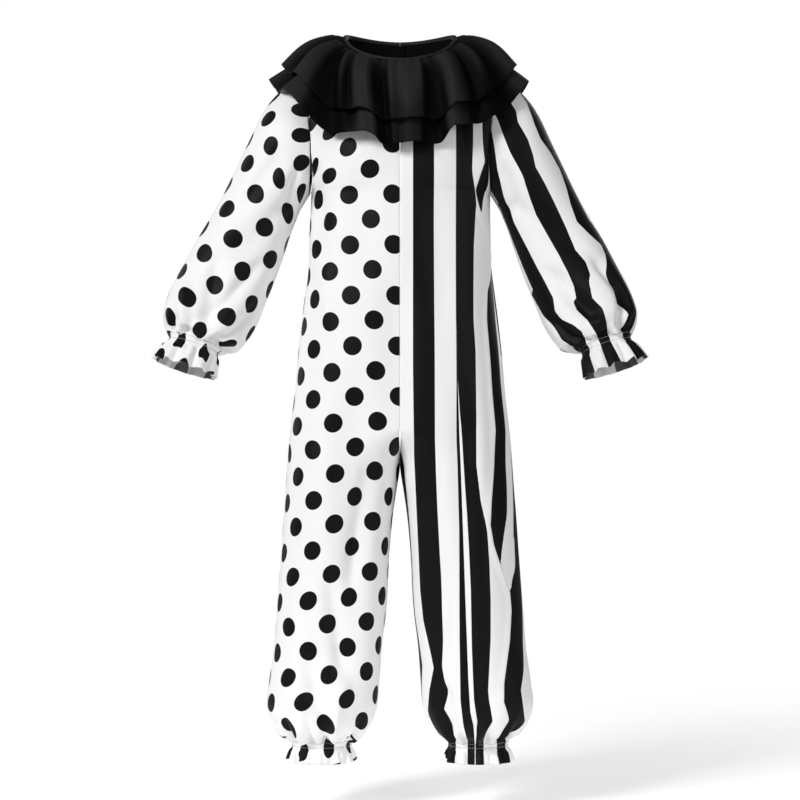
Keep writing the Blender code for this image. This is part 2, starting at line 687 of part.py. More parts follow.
def wrist_wave(angle, step):
    """How far a sleeve stands out in the gathers round the wrist elastic."""
    wave = math.cos(math.radians(WRIST_WAVES * angle))
    if step > WRIST_ELASTIC + 1:
        grow = (step - WRIST_ELASTIC - 1) / (len(SLEEVE) - 2 - WRIST_ELASTIC)
        return wave * (ELASTIC_WAVE + (FRILL_WAVE - ELASTIC_WAVE) * grow)
    if step >= WRIST_ELASTIC:
        return wave * ELASTIC_WAVE
    return wave * GATHER_WAVE * math.exp(-(WRIST_ELASTIC - step) / WRIST_FADE_ROWS)


def build_sleeve(side, finish):
    """One sleeve: a tube from the armhole to the wrist frill."""
    coarse = 2 * YOKE_ROWS
    steps = SLEEVE_CUTS + WRIST_CUTS
    rows, angles = [], []
    for step in steps:
        count = coarse if step in SLEEVE_CUTS else coarse * WRIST_SPLIT
        line = [360 * column / count for column in range(count)]
        rows.append([sleeve_point(step, angle) for angle in line])
        angles.append(line)
    normals = [[-normal for normal in line] for line in grid_normals(rows, True)]
    for column, normal in enumerate(normals[0]):
        normal[0] = min(normal[0], 0.0)
        if column != YOKE_ROWS:
            normals[0][column] = unit(normal)
    normals[0][YOKE_ROWS] = unit(np.array((-1.0, 0.0, -1.0)))
    outside, inside = [], []
    for step, row, line, angle_line in zip(steps, rows, normals, angles):
        outer_row, inner_row = [], []
        for point, normal, angle in zip(row, line, angle_line):
            moved = sleeve_fold(side, angle, step) + wrist_wave(angle, step)
            outer_row.append(point + normal * moved)
            inner_row.append(point + normal * (moved - CLOTH))
        outside.append(outer_row)
        inside.append(inner_row)
    for grid in (outside, inside):
        for point in grid[0]:
            point[0] += SEAM_GAP / 2
    flip = np.array((-1 if side == "right" else 1, 1, 1))
    outside = [[point * flip for point in row] for row in outside]
    inside = [[point * flip for point in row] for row in inside]
    add_wall("sleeve_" + side, outside, inside, True, finish)


# ---------------------------------------------------------------- collar

def hem_curve(table, name):
    """A smooth function of the angle for one column of a hem's table, the same on both sides."""
    mirror = -1 if name == "side" else 1
    rows = [(-row.angle, mirror * getattr(row, name)) for row in table[:0:-1]]
    rows += [(row.angle, getattr(row, name)) for row in table]
    return smooth_curve(*zip(*rows))


HEM_WAVE = smooth_curve([wave.angle for wave in HEM_WAVES],
                        [wave.height for wave in HEM_WAVES])
HEM_ANGLE = smooth_curve([bend.neck for bend in BENDS], [bend.hem for bend in BENDS])


def flute_height(angle, reach):
    """Height of the flutes, which swell up below the neck and open out above the hem."""
    count = max(index for index, bend in enumerate(BENDS[:-1]) if bend.neck <= angle)
    before, after = BENDS[count], BENDS[count + 1]
    part = ease((angle - before.neck) / (after.neck - before.neck))
    height = before.height + (after.height - before.height) * part
    fade_start, fade_end = FLUTE_FADE
    kept = 1 - (1 - FLUTE_KEPT) * ease((reach - fade_start) / (fade_end - fade_start))
    return height * ease(reach / FLUTE_START) * reach ** FLUTE_GROWTH * kept


def neck_gathers(angle, reach):
    """The puff below the neck and its gathers, of uneven height, which run out into the flutes."""
    turn = math.radians(angle)
    puff = NECK_PUFF * ease(reach / NECK_PUFF_REACH) * (1 - reach) ** 2
    puff *= 1 - (1 - PUFF_SIDES) * abs(math.sin(turn))
    uneven = 0.8 + 0.3 * math.sin(3 * turn + 1) + 0.2 * math.sin(11 * turn)
    short = math.cos(NECK_GATHERS * turn) * ease(reach / NECK_GATHER_START) * (1 - reach) ** 3
    return puff + NECK_GATHER_WAVE * uneven * short


def ruffle_angles():
    """Neck angles of a ruffle's columns, the same number from each bend to the next."""
    end = 180 - BACK_OPENING
    angles = [before.neck + (after.neck - before.neck) * step / BEND_COLUMNS
              for before, after in zip(BENDS[:-1], BENDS[1:]) for step in range(BEND_COLUMNS)]
    return [-end] + [angle for angle in angles if abs(angle) < end] + [end]


def ruffle_point(curves, offset, angle, drop):
    """A point in the middle of a ruffle's wall before its waves; drop 1 is the hem."""
    neck = neck_point(angle)
    start = neck + neck_directions(angle)[1] * offset
    size = {name: curve(angle) for name, curve in curves.items()}
    hem = np.array((size["side"], -size["forward"], size["height"]))
    level = unit(neck * np.array((1, 1, 0)))
    lift = unit(level * BULGE_OUT + np.array((0, 0, BULGE_UP)))
    bulge = size["bulge"] * math.sin(math.pi * drop ** BULGE_EARLY)
    return start * (1 - drop) + hem * drop + lift * bulge


def build_ruffle(name, table, offset, length):
    """One tier of the collar, open at the centre back; length 1 is the longer tier's.

    Both tiers take their waves from the longer one's reach, so that they nest.
    """
    curves = {column: hem_curve(table, column) for column in ("side", "forward", "height", "bulge")}
    angles = ruffle_angles()
    drops = [row / RUFFLE_ROWS for row in range(RUFFLE_ROWS + 1)]
    moved = [[angle + (HEM_ANGLE(angle) - angle) * drop * length for angle in angles]
             for drop in drops]
    rows = [[ruffle_point(curves, offset, angle, drop) for angle in row]
            for drop, row in zip(drops, moved)]
    normals = grid_normals(rows, False)
    outside, inside = [], []
    for drop, row, line, moved_row in zip(drops, rows, normals, moved):
        outer_row, inner_row = [], []
        for angle, moved_angle, point, normal in zip(angles, moved_row, row, line):
            blend = ease(drop / NECK_BLEND)
            out = unit(neck_directions(moved_angle)[1] * (1 - blend) + normal * blend)
            reach = drop * length
            broad = HEM_WAVE(moved_angle) * ease(reach)
            wave = (FLUTE_WAVE * flute_height(angle, reach) + HEM_WAVE_OUT * broad
                    + neck_gathers(angle, reach))
            hung = point + np.array((0, 0, HEM_WAVE_RISE * broad))
            outer_row.append(hung + out * (wave + RUFFLE_CLOTH / 2))
            inner_row.append(hung + out * (wave - RUFFLE_CLOTH / 2))
        outside.append(outer_row)
        inside.append(inner_row)
    add_wall(name, outside, inside, False, RUFFLE_BLACK)


def ring_angles():
    """Angles round the neck from one side of the centre back to the other."""
    first = -180 + BAND_OPENING
    sweep = 360 - 2 * BAND_OPENING
    return [first + sweep * column / RING_COLUMNS for column in range(RING_COLUMNS + 1)]


def build_binding():
    """The rolled band that closes the raw edges of the panels, ruffles and facing."""
    rows = []
    for angle in ring_angles():
        down_cloth, facing_out = neck_directions(angle)
        middle = (neck_point(angle) + facing_out * BINDING_OUT
                  - down_cloth * (SEAM_GAP + BINDING_HALF_HEIGHT))
        row = []
        for side in range(BINDING_SIDES):
            turn = 2 * math.pi * (side + 0.5) / BINDING_SIDES
            row.append(middle
                       + facing_out * BINDING_HALF_WIDTH * rounded(math.cos(turn), BINDING_SQUARE)
                       - down_cloth * BINDING_HALF_HEIGHT * rounded(math.sin(turn), BINDING_SQUARE))
        rows.append(row)
    bm = bmesh.new()
    rings = [[bm.verts.new(point) for point in row] for row in rows]
    for first, second in zip(rings, rings[1:]):
        stitch(bm, first, second, True)
    bm.faces.new(rings[0])
    bm.faces.new(rings[-1])
    add_piece("neck_binding", bm, BINDING_BLACK)


def build_facing():
    """The short black band that hangs inside the neck."""
    outside, inside = [], []
    for row in range(FACING_ROWS + 1):
        fall = np.array((0, 0, -FACING_DEPTH * row / FACING_ROWS))
        outer_row, inner_row = [], []
        for angle in ring_angles():
            facing_out = neck_directions(angle)[1]
            level = unit(facing_out * np.array((1, 1, 0)))
            outer = neck_point(angle) - facing_out * (CLOTH + FACING_GAP)
            thickness = facing_out if row == 0 else level
            outer_row.append(outer + fall)
            inner_row.append(outer + fall - thickness * FACING_CLOTH)
        outside.append(outer_row)
        inside.append(inner_row)
    add_wall("neck_facing", outside, inside, False, RUFFLE_BLACK)


# ---------------------------------------------------------------- assembly

def main():
    """Clear the scene and build every piece of the costume."""
    for leftover in list(bpy.data.objects):
        bpy.data.objects.remove(leftover, do_unlink=True)
    build_panel("front_right", DOTTED_CLOTH)
    build_panel("front_left", STRIPED_CLOTH)
    build_panel("back_right", DOTTED_CLOTH)
    build_panel("back_left", STRIPED_CLOTH)
    build_sleeve("right", DOTTED_CLOTH)
    build_sleeve("left", STRIPED_CLOTH)
    build_ruffle("collar_lower", LOWER_HEM, LOWER_NECK_OFFSET, 1.0)
    build_ruffle("collar_upper", UPPER_HEM, UPPER_NECK_OFFSET, UPPER_LENGTH)
    build_binding()
    build_facing()


main()
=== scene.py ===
# Child's clown costume: a jumpsuit, dotted on the wearer's right and striped on the left,
# with a black two-tier ruffle collar.  Metres, front towards -Y, wearer's left towards +X.
import math
from collections import namedtuple

import bpy
import numpy as np
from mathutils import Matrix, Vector


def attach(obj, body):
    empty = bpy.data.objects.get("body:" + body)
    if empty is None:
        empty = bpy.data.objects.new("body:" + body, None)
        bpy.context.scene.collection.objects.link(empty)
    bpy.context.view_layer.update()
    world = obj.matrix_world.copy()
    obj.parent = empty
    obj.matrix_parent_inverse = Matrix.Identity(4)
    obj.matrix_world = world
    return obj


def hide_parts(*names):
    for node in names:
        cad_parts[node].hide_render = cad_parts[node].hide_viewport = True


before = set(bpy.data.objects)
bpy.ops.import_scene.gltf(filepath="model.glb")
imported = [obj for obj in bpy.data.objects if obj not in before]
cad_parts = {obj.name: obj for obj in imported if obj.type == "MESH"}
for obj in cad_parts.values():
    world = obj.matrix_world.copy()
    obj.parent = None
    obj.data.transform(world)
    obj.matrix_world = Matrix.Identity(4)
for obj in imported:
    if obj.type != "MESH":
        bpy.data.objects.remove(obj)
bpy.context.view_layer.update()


# ================================================================ studio
# A pale floor a foot's height below the ankle hems, soft lamps at both sides and behind, and
# a camera level with the middle of the costume, straight in front of it.

FLOOR_HEIGHT = -0.985
FLOOR_RADIUS = 1.7
FLOOR_CLEAR = 0.3            # the floor fades into the background from this radius outwards
FLOOR_GONE = 0.96            # and is gone at this share of its radius
FLOOR_GLOW = 0.38            # it shines a little by itself, so that shadows on it stay pale
PAPER_WHITE = (0.93, 0.93, 0.93, 1.0)
LIGHT_WHITE = (1.0, 1.0, 1.0, 1.0)
EVEN_LIGHT = 0.16            # strength of the even light on the costume
LAMP_AIM = (0, 0, -0.45)
CAMERA_DISTANCE = 3.0
CAMERA_HEIGHT = -0.455
PICTURE_WIDTH = 1.040        # width of the picture where the costume stands
SENSOR = 36.0


class Finish:
    """A material, with one method for its nodes."""

    def __init__(self, name):
        self.material = bpy.data.materials.new(name)
        self.material.use_nodes = True
        self.tree = self.material.node_tree
        self.shader = self.tree.nodes["Principled BSDF"]

    def node(self, kind, settings=None, **sockets):
        """A node of that kind: its settings first, then a value or a link for each socket."""
        made = self.tree.nodes.new("ShaderNode" + kind)
        for name, value in (settings or {}).items():
            setattr(made, name, value)
        for name, value in sockets.items():
            self.fill(made.inputs[name.replace("_", " ")], value)
        return made

    def blend(self, share, first, second):
        """A colour between two: the first where the share is 0, the second where it is 1."""
        mix = self.node("Mix", {"data_type": "RGBA"})
        for number, value in ((0, share), (6, first), (7, second)):
            self.fill(mix.inputs[number], value)
        return mix.outputs[2]

    def fill(self, socket, value):
        """Give a socket a value, or link it to another node's output."""
        if isinstance(value, Number):
            value = value.socket
        if isinstance(value, bpy.types.NodeSocket):
            self.tree.links.new(value, socket)
        else:
            socket.default_value = value

    def shade(self, **sockets):
        """Give the shader's own sockets their values or links."""
        for name, value in sockets.items():
            self.fill(self.shader.inputs[name.replace("_", " ")], value)


class Number:
    """A value in a material; arithmetic on it adds Math nodes."""

    def __init__(self, finish, socket):
        self.finish = finish
        self.socket = socket

    def maths(self, operation, *values):
        made = self.finish.node("Math", {"operation": operation})
        for socket, value in zip(made.inputs, values):
            self.finish.fill(socket, value)
        return Number(self.finish, made.outputs[0])

    def __add__(self, other):
        return self.maths("ADD", self, other)

    def __sub__(self, other):
        return self.maths("SUBTRACT", self, other)

    def __mul__(self, other):
        return self.maths("MULTIPLY", self, other)

    def __truediv__(self, other):
        return self.maths("DIVIDE", self, other)

    def __rsub__(self, other):
        return self.maths("SUBTRACT", other, self)

    __radd__ = __add__
    __rmul__ = __mul__

    def fraction(self):
        return self.maths("FRACT", self)

    def size(self):
        return self.maths("ABSOLUTE", self)

    def root(self):
        return self.maths("SQRT", self)

    def least(self, other):
        return self.maths("MINIMUM", self, other)

    def wave(self):
        return self.maths("SINE", self)

    def step(self, start, end):
        """0 below start and 1 above end, with a soft step between them."""
        made = self.finish.node("MapRange", {"interpolation_type": "SMOOTHSTEP"},
                                Value=self, From_Min=start, From_Max=end)
        return Number(self.finish, made.outputs["Result"])


def floor_finish():
    """Matt white paper that fades out towards its edge."""
    paper = Finish("studio_floor")
    place = paper.node("TexCoord").outputs["Object"]
    length = paper.node("VectorMath", {"operation": "LENGTH"}, Vector=place)
    away = Number(paper, length.outputs["Value"])
    paper.shade(Base_Color=PAPER_WHITE, Roughness=0.9,
                Emission_Color=LIGHT_WHITE, Emission_Strength=FLOOR_GLOW,
                Alpha=1 - away.step(FLOOR_CLEAR, FLOOR_RADIUS * FLOOR_GONE))
    return paper.material


def add_floor():
    """A round sheet on the floor."""
    corners = 96
    turns = [2 * math.pi * corner / corners for corner in range(corners)]
    mesh = bpy.data.meshes.new("studio_floor")
    rim = [(FLOOR_RADIUS * math.cos(turn), FLOOR_RADIUS * math.sin(turn), 0) for turn in turns]
    mesh.from_pydata(rim, [], [list(range(corners))])
    mesh.materials.append(floor_finish())
    floor = bpy.data.objects.new("studio_floor", mesh)
    floor.location = (0, 0, FLOOR_HEIGHT)
    bpy.context.scene.collection.objects.link(floor)


def add_lamp(name, place, size, power):
    """A soft square lamp that points at the costume."""
    lamp = bpy.data.lights.new(name, "AREA")
    lamp.shape = "SQUARE"
    lamp.size = size
    lamp.energy = power
    holder = bpy.data.objects.new(name, lamp)
    holder.location = place
    towards = Vector(LAMP_AIM) - Vector(place)
    holder.rotation_euler = towards.to_track_quat("-Z", "Y").to_euler()
    bpy.context.scene.collection.objects.link(holder)


def set_background():
    """White to look at, and a weaker even light on the costume."""
    world = bpy.context.scene.world or bpy.data.worlds.new("studio")
    bpy.context.scene.world = world
    world.use_nodes = True
    tree = world.node_tree
    tree.nodes.clear()
    mix = tree.nodes.new("ShaderNodeMixShader")
    for number, strength in ((1, EVEN_LIGHT), (2, 1.0)):
        light = tree.nodes.new("ShaderNodeBackground")
        light.inputs["Color"].default_value = LIGHT_WHITE
        light.inputs["Strength"].default_value = strength
        tree.links.new(light.outputs[0], mix.inputs[number])
    seen = tree.nodes.new("ShaderNodeLightPath")
    out = tree.nodes.new("ShaderNodeOutputWorld")
    tree.links.new(seen.outputs["Is Camera Ray"], mix.inputs["Fac"])
    tree.links.new(mix.outputs[0], out.inputs["Surface"])


def add_camera():
    """A long lens, level with the middle of the costume."""
    lens = bpy.data.cameras.new("camera")
    lens.sensor_width = SENSOR
    lens.lens = SENSOR * CAMERA_DISTANCE / PICTURE_WIDTH
    lens.clip_end = 60
    camera = bpy.data.objects.new("camera", lens)
    camera.location = (0, -CAMERA_DISTANCE, CAMERA_HEIGHT)
    camera.rotation_euler = (math.pi / 2, 0, 0)
    bpy.context.scene.collection.objects.link(camera)
    bpy.context.scene.camera = camera


bpy.context.scene.view_settings.view_transform = "Standard"
add_floor()
set_background()
add_lamp("key_lamp", (-2.2, -2.4, 1.3), 1.0, 101)
add_lamp("fill_lamp", (2.4, -2.2, 0.2), 1.8, 36)
add_lamp("back_lamp", (1.0, 3.0, 0.6), 1.8, 26)
add_lamp("back_fill_lamp", (-2.4, 1.8, 0.3), 1.8, 16)
add_camera()


# ================================================================ body panels
# Four panels of light polyester satin, body and leg in one, sewn together at the centre, the
# sides and the inseams.  The wearer's right half is white with black dots and the left half
# has black and white stripes down the grain.  A channel with elastic draws in each ankle, and
# the cloth runs on below it as a frill.

SHELL = 0.0006               # thickness of the cloth


def table(columns, *rows):
    """Rows of values with named columns."""
    named = namedtuple("Row", columns)
    return [named(*row) for row in rows]


def tables(columns, **pieces):
    """A table for each piece, all with the same columns."""
    return {piece: table(columns, *rows) for piece, rows in pieces.items()}


NECK_HALF_WIDTH = 0.0725
NECK_FRONT_DEPTH = 0.066
NECK_BACK_DEPTH = 0.050
NECK_SIDE_HEIGHT = 0.012
NECK_FRONT_DROP = 0.038
NECK_BACK_HUMP = 0.004
NECK_FRONT_ROUND = 1.15      # 2 dips gently from the sides; less drops sooner and is flatter below

ARMHOLE_SCOOP = 0.007
SCOOP_ROWS = 3
SLEEVE_SQUARE = 0.90
TORSO_SQUARE = 0.82
HIP_SQUARE = 0.62
LEG_SQUARE = 0.90
SPLIT_TOP = -0.490
CROTCH_HEIGHT = -0.546

BODY = table(
    "height outer inner front back",
    (-0.188, 0.117, 0, 0.08, 0.078),
    (-0.225, 0.1172, 0, 0.082, 0.075),
    (-0.28, 0.1195, 0, 0.084, 0.073),
    (-0.338, 0.1262, 0, 0.087, 0.077),
    (-0.385, 0.1315, 0, 0.089, 0.083),
    (-0.447, 0.1368, 0, 0.09, 0.091),
    (-0.5, 0.143, 0, 0.089, 0.093),
    (-0.546, 0.1468, 0.0004, 0.087, 0.091),
    (-0.572, 0.1485, 0.0045, 0.084, 0.088),
    (-0.603, 0.1508, 0.009, 0.081, 0.084),
    (-0.65, 0.154, 0.0135, 0.078, 0.08),
    (-0.728, 0.16, 0.0178, 0.073, 0.076),
    (-0.775, 0.1635, 0.0235, 0.071, 0.074),
    (-0.825, 0.1705, 0.0272, 0.071, 0.073),
    (-0.85, 0.1728, 0.0295, 0.071, 0.072),
    (-0.87, 0.167, 0.0355, 0.066, 0.067),
    (-0.886, 0.156, 0.046, 0.055, 0.055),
    (-0.899, 0.143, 0.06, 0.0385, 0.0385),
    (-0.906, 0.143, 0.06, 0.0385, 0.0385),
    (-0.914, 0.144, 0.0598, 0.0392, 0.0392),
    (-0.923, 0.1455, 0.0588, 0.0405, 0.0405),
)
ARMPIT_HEIGHT = BODY[0].height
THREAD_LINES = (-0.8965, -0.9025)      # heights of the two lines round each ankle
ELASTIC_TOP = -0.899
ELASTIC_BOTTOM = -0.906
HEM_HEIGHT = BODY[-1].height

SLEEVE = table(
    "top_x top_z under_x under_z middle_y half_depth tip",
    (0.128, -0.034, 0.117, -0.188, 0, 0.056, 0),
    (0.149, -0.049, 0.1195, -0.1915, 0, 0.06, 0),
    (0.167, -0.067, 0.1225, -0.196, 0, 0.062, 0),
    (0.181, -0.088, 0.1262, -0.202, 0, 0.062, 0),
    (0.196, -0.12, 0.13, -0.2085, 0, 0.061, 0),
    (0.211, -0.151, 0.134, -0.218, 0, 0.059, 0),
    (0.227, -0.184, 0.14, -0.233, 0, 0.057, 1),
    (0.244, -0.215, 0.149, -0.261, -0.001, 0.056, 4),
    (0.262, -0.246, 0.161, -0.296, -0.005, 0.056, 7),
    (0.278, -0.277, 0.174, -0.329, -0.011, 0.057, 10),
    (0.294, -0.308, 0.1865, -0.361, -0.02, 0.058, 12),
    (0.304, -0.338, 0.2035, -0.3865, -0.031, 0.054, 13),
    (0.3035, -0.356, 0.215, -0.394, -0.037, 0.046, 13),
    (0.298, -0.372, 0.2285, -0.3945, -0.042, 0.034, 13),
    (0.3005, -0.38, 0.2315, -0.402, -0.045, 0.034, 12),
    (0.3075, -0.391, 0.2335, -0.4135, -0.049, 0.038, 10),
    (0.314, -0.402, 0.236, -0.4265, -0.054, 0.042, 9),
)


def smooth_curve(places, values):
    """Return a function that passes smoothly through values given at rising places."""
    places = np.array(places, dtype=float)
    values = np.array(values, dtype=float)
    slopes = np.gradient(values, places)

    def read(place):
        place = np.clip(place, places[0], places[-1])
        left = np.clip(np.searchsorted(places, place, side="right") - 1, 0, len(places) - 2)
        span = places[left + 1] - places[left]
        part = (place - places[left]) / span
        rise = values[left + 1] - values[left]
        start = slopes[left] * span
        end = slopes[left + 1] * span
        return (values[left] + start * part
                + (3 * rise - 2 * start - end) * part ** 2
                + (start + end - 2 * rise) * part ** 3)

    return read


def ease(part):
    """Smooth step from 0 to 1."""
    part = np.clip(part, 0.0, 1.0)
    return part * part * (3 - 2 * part)


def rounded(value, square):
    """A sine or cosine pushed outwards, which turns an ellipse into a rounded box."""
    return np.sign(value) * np.abs(value) ** square


def unit(vectors):
    """Vectors with a length of 1."""
    length = np.linalg.norm(vectors, axis=-1, keepdims=True)
    return vectors / np.maximum(length, 1e-12)


BODY_CURVES = {name: smooth_curve([-row.height for row in BODY],
                                  [getattr(row, name) for row in BODY])
               for name in ("outer", "inner", "front", "back")}
SLEEVE_CURVES = {name: smooth_curve(range(len(SLEEVE)), [getattr(row, name) for row in SLEEVE])
                 for name in SLEEVE[0]._fields}


def neck_point(angle):
    """Points of the neck ring; 0 is the centre front, 90 the wearer's left side."""
    turn = np.radians(angle)
    forward = np.cos(turn)
    depth = np.where(forward > 0, NECK_FRONT_DEPTH, NECK_BACK_DEPTH)
    change = np.where(forward > 0, -NECK_FRONT_DROP * np.abs(forward) ** NECK_FRONT_ROUND,
                      -4 * NECK_BACK_HUMP * forward * (1 + forward))
    return np.stack((NECK_HALF_WIDTH * np.sin(turn), -depth * forward,
                     NECK_SIDE_HEIGHT + change), axis=-1)


def sleeve_point(step, angle):
    """Points of the left sleeve's outer face: 0 outer edge, 90 front, 180 under, 270 back."""
    size = {name: float(curve(step)) for name, curve in SLEEVE_CURVES.items()}
    top = np.array((size["top_x"], 0.0, size["top_z"]))
    under = np.array((size["under_x"], 0.0, size["under_z"]))
    middle = (top + under) / 2 + np.array((0.0, size["middle_y"], 0.0))
    half = (top - under) / 2
    turn = np.radians(np.atleast_1d(angle))[:, None]
    tip = math.radians(size["tip"])
    along_back = unit(np.array((-half[2], 0.0, half[0])))
    forward = np.array((0.0, -math.cos(tip), 0.0)) + math.sin(tip) * along_back
    points = (middle + half * rounded(np.cos(turn), SLEEVE_SQUARE)
              + forward * size["half_depth"] * rounded(np.sin(turn), SLEEVE_SQUARE))
    scoop = ARMHOLE_SCOOP * max(0.0, 1 - step / SCOOP_ROWS)
    points[:, 0] -= scoop * np.sin(turn[:, 0]) ** 2
    return points


def oval_depth(side, square):
    """Depth of a rounded oval, from 1 in its middle to 0 at its ends, where side is 1."""
    return np.maximum(0.0, 1 - np.abs(side) ** (2 / square)) ** (square / 2)


def section(depth_name, share, height):
    """Points of a left panel below the armpit: share 0 at the centre or inseam, 1 at the side."""
    outer = float(BODY_CURVES["outer"](-height))
    inner = float(BODY_CURVES["inner"](-height))
    depth = float(BODY_CURVES[depth_name](-height))
    split = ease((SPLIT_TOP - height) / (SPLIT_TOP - CROTCH_HEIGHT))
    fall = ease((ARMPIT_HEIGHT - height) / (ARMPIT_HEIGHT - SPLIT_TOP))
    torso_square = TORSO_SQUARE + (HIP_SQUARE - TORSO_SQUARE) * fall
    middle = (outer + inner) / 2
    half = (outer - inner) / 2
    torso_side = outer * rounded(np.sin(share * math.pi / 2), torso_square)
    leg_side = middle - half * rounded(np.cos(share * math.pi), LEG_SQUARE)
    side = torso_side * (1 - split) + leg_side * split
    torso_part = oval_depth(side / outer, torso_square)
    leg_part = oval_depth((side - middle) / half, LEG_SQUARE)
    part = torso_part * (1 - split) + leg_part * split
    forward = -1 if depth_name == "front" else 1
    return np.stack((side, forward * depth * part, np.full_like(side, height)), axis=-1)


def yoke(depth_name, share, drop):
    """Points of a left panel above the armpit: drop 0 at neck and shoulder, 1 at the armpit."""
    front = depth_name == "front"
    shoulder_tip = sleeve_point(0, 0)[0]

    def top_edge(place):
        angle = 180 * np.minimum(place, 0.5)
        neck = neck_point(angle if front else 180 - angle)
        part = np.clip(place * 2 - 1, 0, 1)[..., None]
        return neck * (1 - part) + shoulder_tip * part

    top = top_edge(share)
    bottom = section(depth_name, share, ARMPIT_HEIGHT)
    start, end = top_edge(np.array(0.0)), bottom[0]
    bend = math.sin(drop * math.pi / 2)
    centre = np.array((0.0, start[1] + (end[1] - start[1]) * bend,
                       start[2] + (end[2] - start[2]) * drop))
    armhole = sleeve_point(0, 180 * drop if front else 360 - 180 * drop)[0]
    share = share[:, None]
    between_rows = top * (1 - drop) + bottom * drop
    between_sides = centre * (1 - share) + armhole * share
    corners = ((1 - share) * (1 - drop) * top[0] + share * (1 - drop) * top[-1]
               + (1 - share) * drop * bottom[0] + share * drop * bottom[-1])
    return between_rows + between_sides - corners


ANKLE_WAVES = 12
FRILL_WAVE = 0.0036
GATHER_WAVE = 0.0012
ELASTIC_WAVE = 0.0006
GATHER_FADE = 0.020
GATHER_START = 0.010

# Folds of each panel: how far from the centre each starts and ends, at which heights, how
# far it moves the cloth out and half its width.
FOLDS = tables(
    "start end top bottom depth width",
    front_right=(
        (0.104, 0.116, -0.23, -0.5, -0.003, 0.018), (0.118, 0.098, -0.6, -0.885, -0.0045, 0.02),
        (0.052, 0.058, -0.57, -0.88, -0.003, 0.016), (0, 0, -0.265, -0.52, -0.007, 0.024),
        (0.052, 0.078, -0.38, -0.88, -0.0075, 0.026),
    ),
    front_left=(
        (0.075, 0.088, -0.4, -0.895, -0.006, 0.014), (0.098, 0.112, -0.38, -0.885, 0.003, 0.018),
        (0.108, 0.128, -0.235, -0.62, -0.004, 0.018), (0.05, 0.056, -0.56, -0.885, -0.0025, 0.016),
        (0, 0, -0.265, -0.52, -0.006, 0.02),
    ),
    back_right=(
        (0.104, 0.098, -0.5, -0.885, -0.0045, 0.02), (0.096, 0.084, -0.24, -0.45, -0.0035, 0.02),
        (0.056, 0.06, -0.57, -0.88, -0.003, 0.018), (0, 0, -0.28, -0.52, -0.007, 0.024),
    ),
    back_left=(
        (0.108, 0.1, -0.52, -0.885, -0.005, 0.02), (0.098, 0.088, -0.23, -0.43, -0.0035, 0.02),
        (0.05, 0.056, -0.58, -0.88, -0.003, 0.018), (0, 0, -0.28, -0.52, -0.007, 0.024),
    ),
)
FOLD_END = 0.28              # share of a fold over which it fades in or out

# Softer creases of the worn cloth, in the same way but before they are deepened.
CREASE_STRENGTH = 1.7
CREASES = tables(
    "start end top bottom depth width",
    front_right=(
        (0.03, 0.062, -0.5, -0.72, -0.004, 0.014), (0.094, 0.066, -0.66, -0.83, -0.0045, 0.013),
        (0.124, 0.09, -0.77, -0.89, -0.005, 0.012), (0.064, 0.096, -0.8, -0.895, 0.0035, 0.011),
        (0.112, 0.096, -0.135, -0.3, -0.0035, 0.01), (0.104, 0.09, -0.2, -0.38, 0.0025, 0.012),
        (0.052, 0.046, -0.15, -0.33, -0.002, 0.02),
    ),
    front_left=(
        (0.046, 0.054, -0.17, -0.4, -0.002, 0.018), (0.06, 0.05, -0.64, -0.8, -0.003, 0.012),
        (0.056, 0.066, -0.81, -0.895, -0.0045, 0.009), (0.112, 0.102, -0.82, -0.895, -0.0045, 0.01),
    ),
    back_right=(
        (0.108, 0.088, -0.14, -0.33, -0.0035, 0.012), (0.04, 0.07, -0.52, -0.74, -0.004, 0.015),
        (0.124, 0.094, -0.74, -0.885, -0.0045, 0.012), (0.062, 0.05, -0.2, -0.42, 0.002, 0.018),
    ),
    back_left=(
        (0.11, 0.092, -0.15, -0.31, -0.0035, 0.012), (0.036, 0.064, -0.51, -0.7, -0.004, 0.014),
        (0.1, 0.12, -0.7, -0.87, -0.004, 0.014), (0.054, 0.066, -0.79, -0.895, -0.0045, 0.01),
    ),
)


def deepened(creases):
    """The same creases, drawn deeper."""
    return [crease._replace(depth=crease.depth * CREASE_STRENGTH) for crease in creases]


PANEL_FOLDS = {panel: FOLDS[panel] + deepened(CREASES[panel]) for panel in FOLDS}

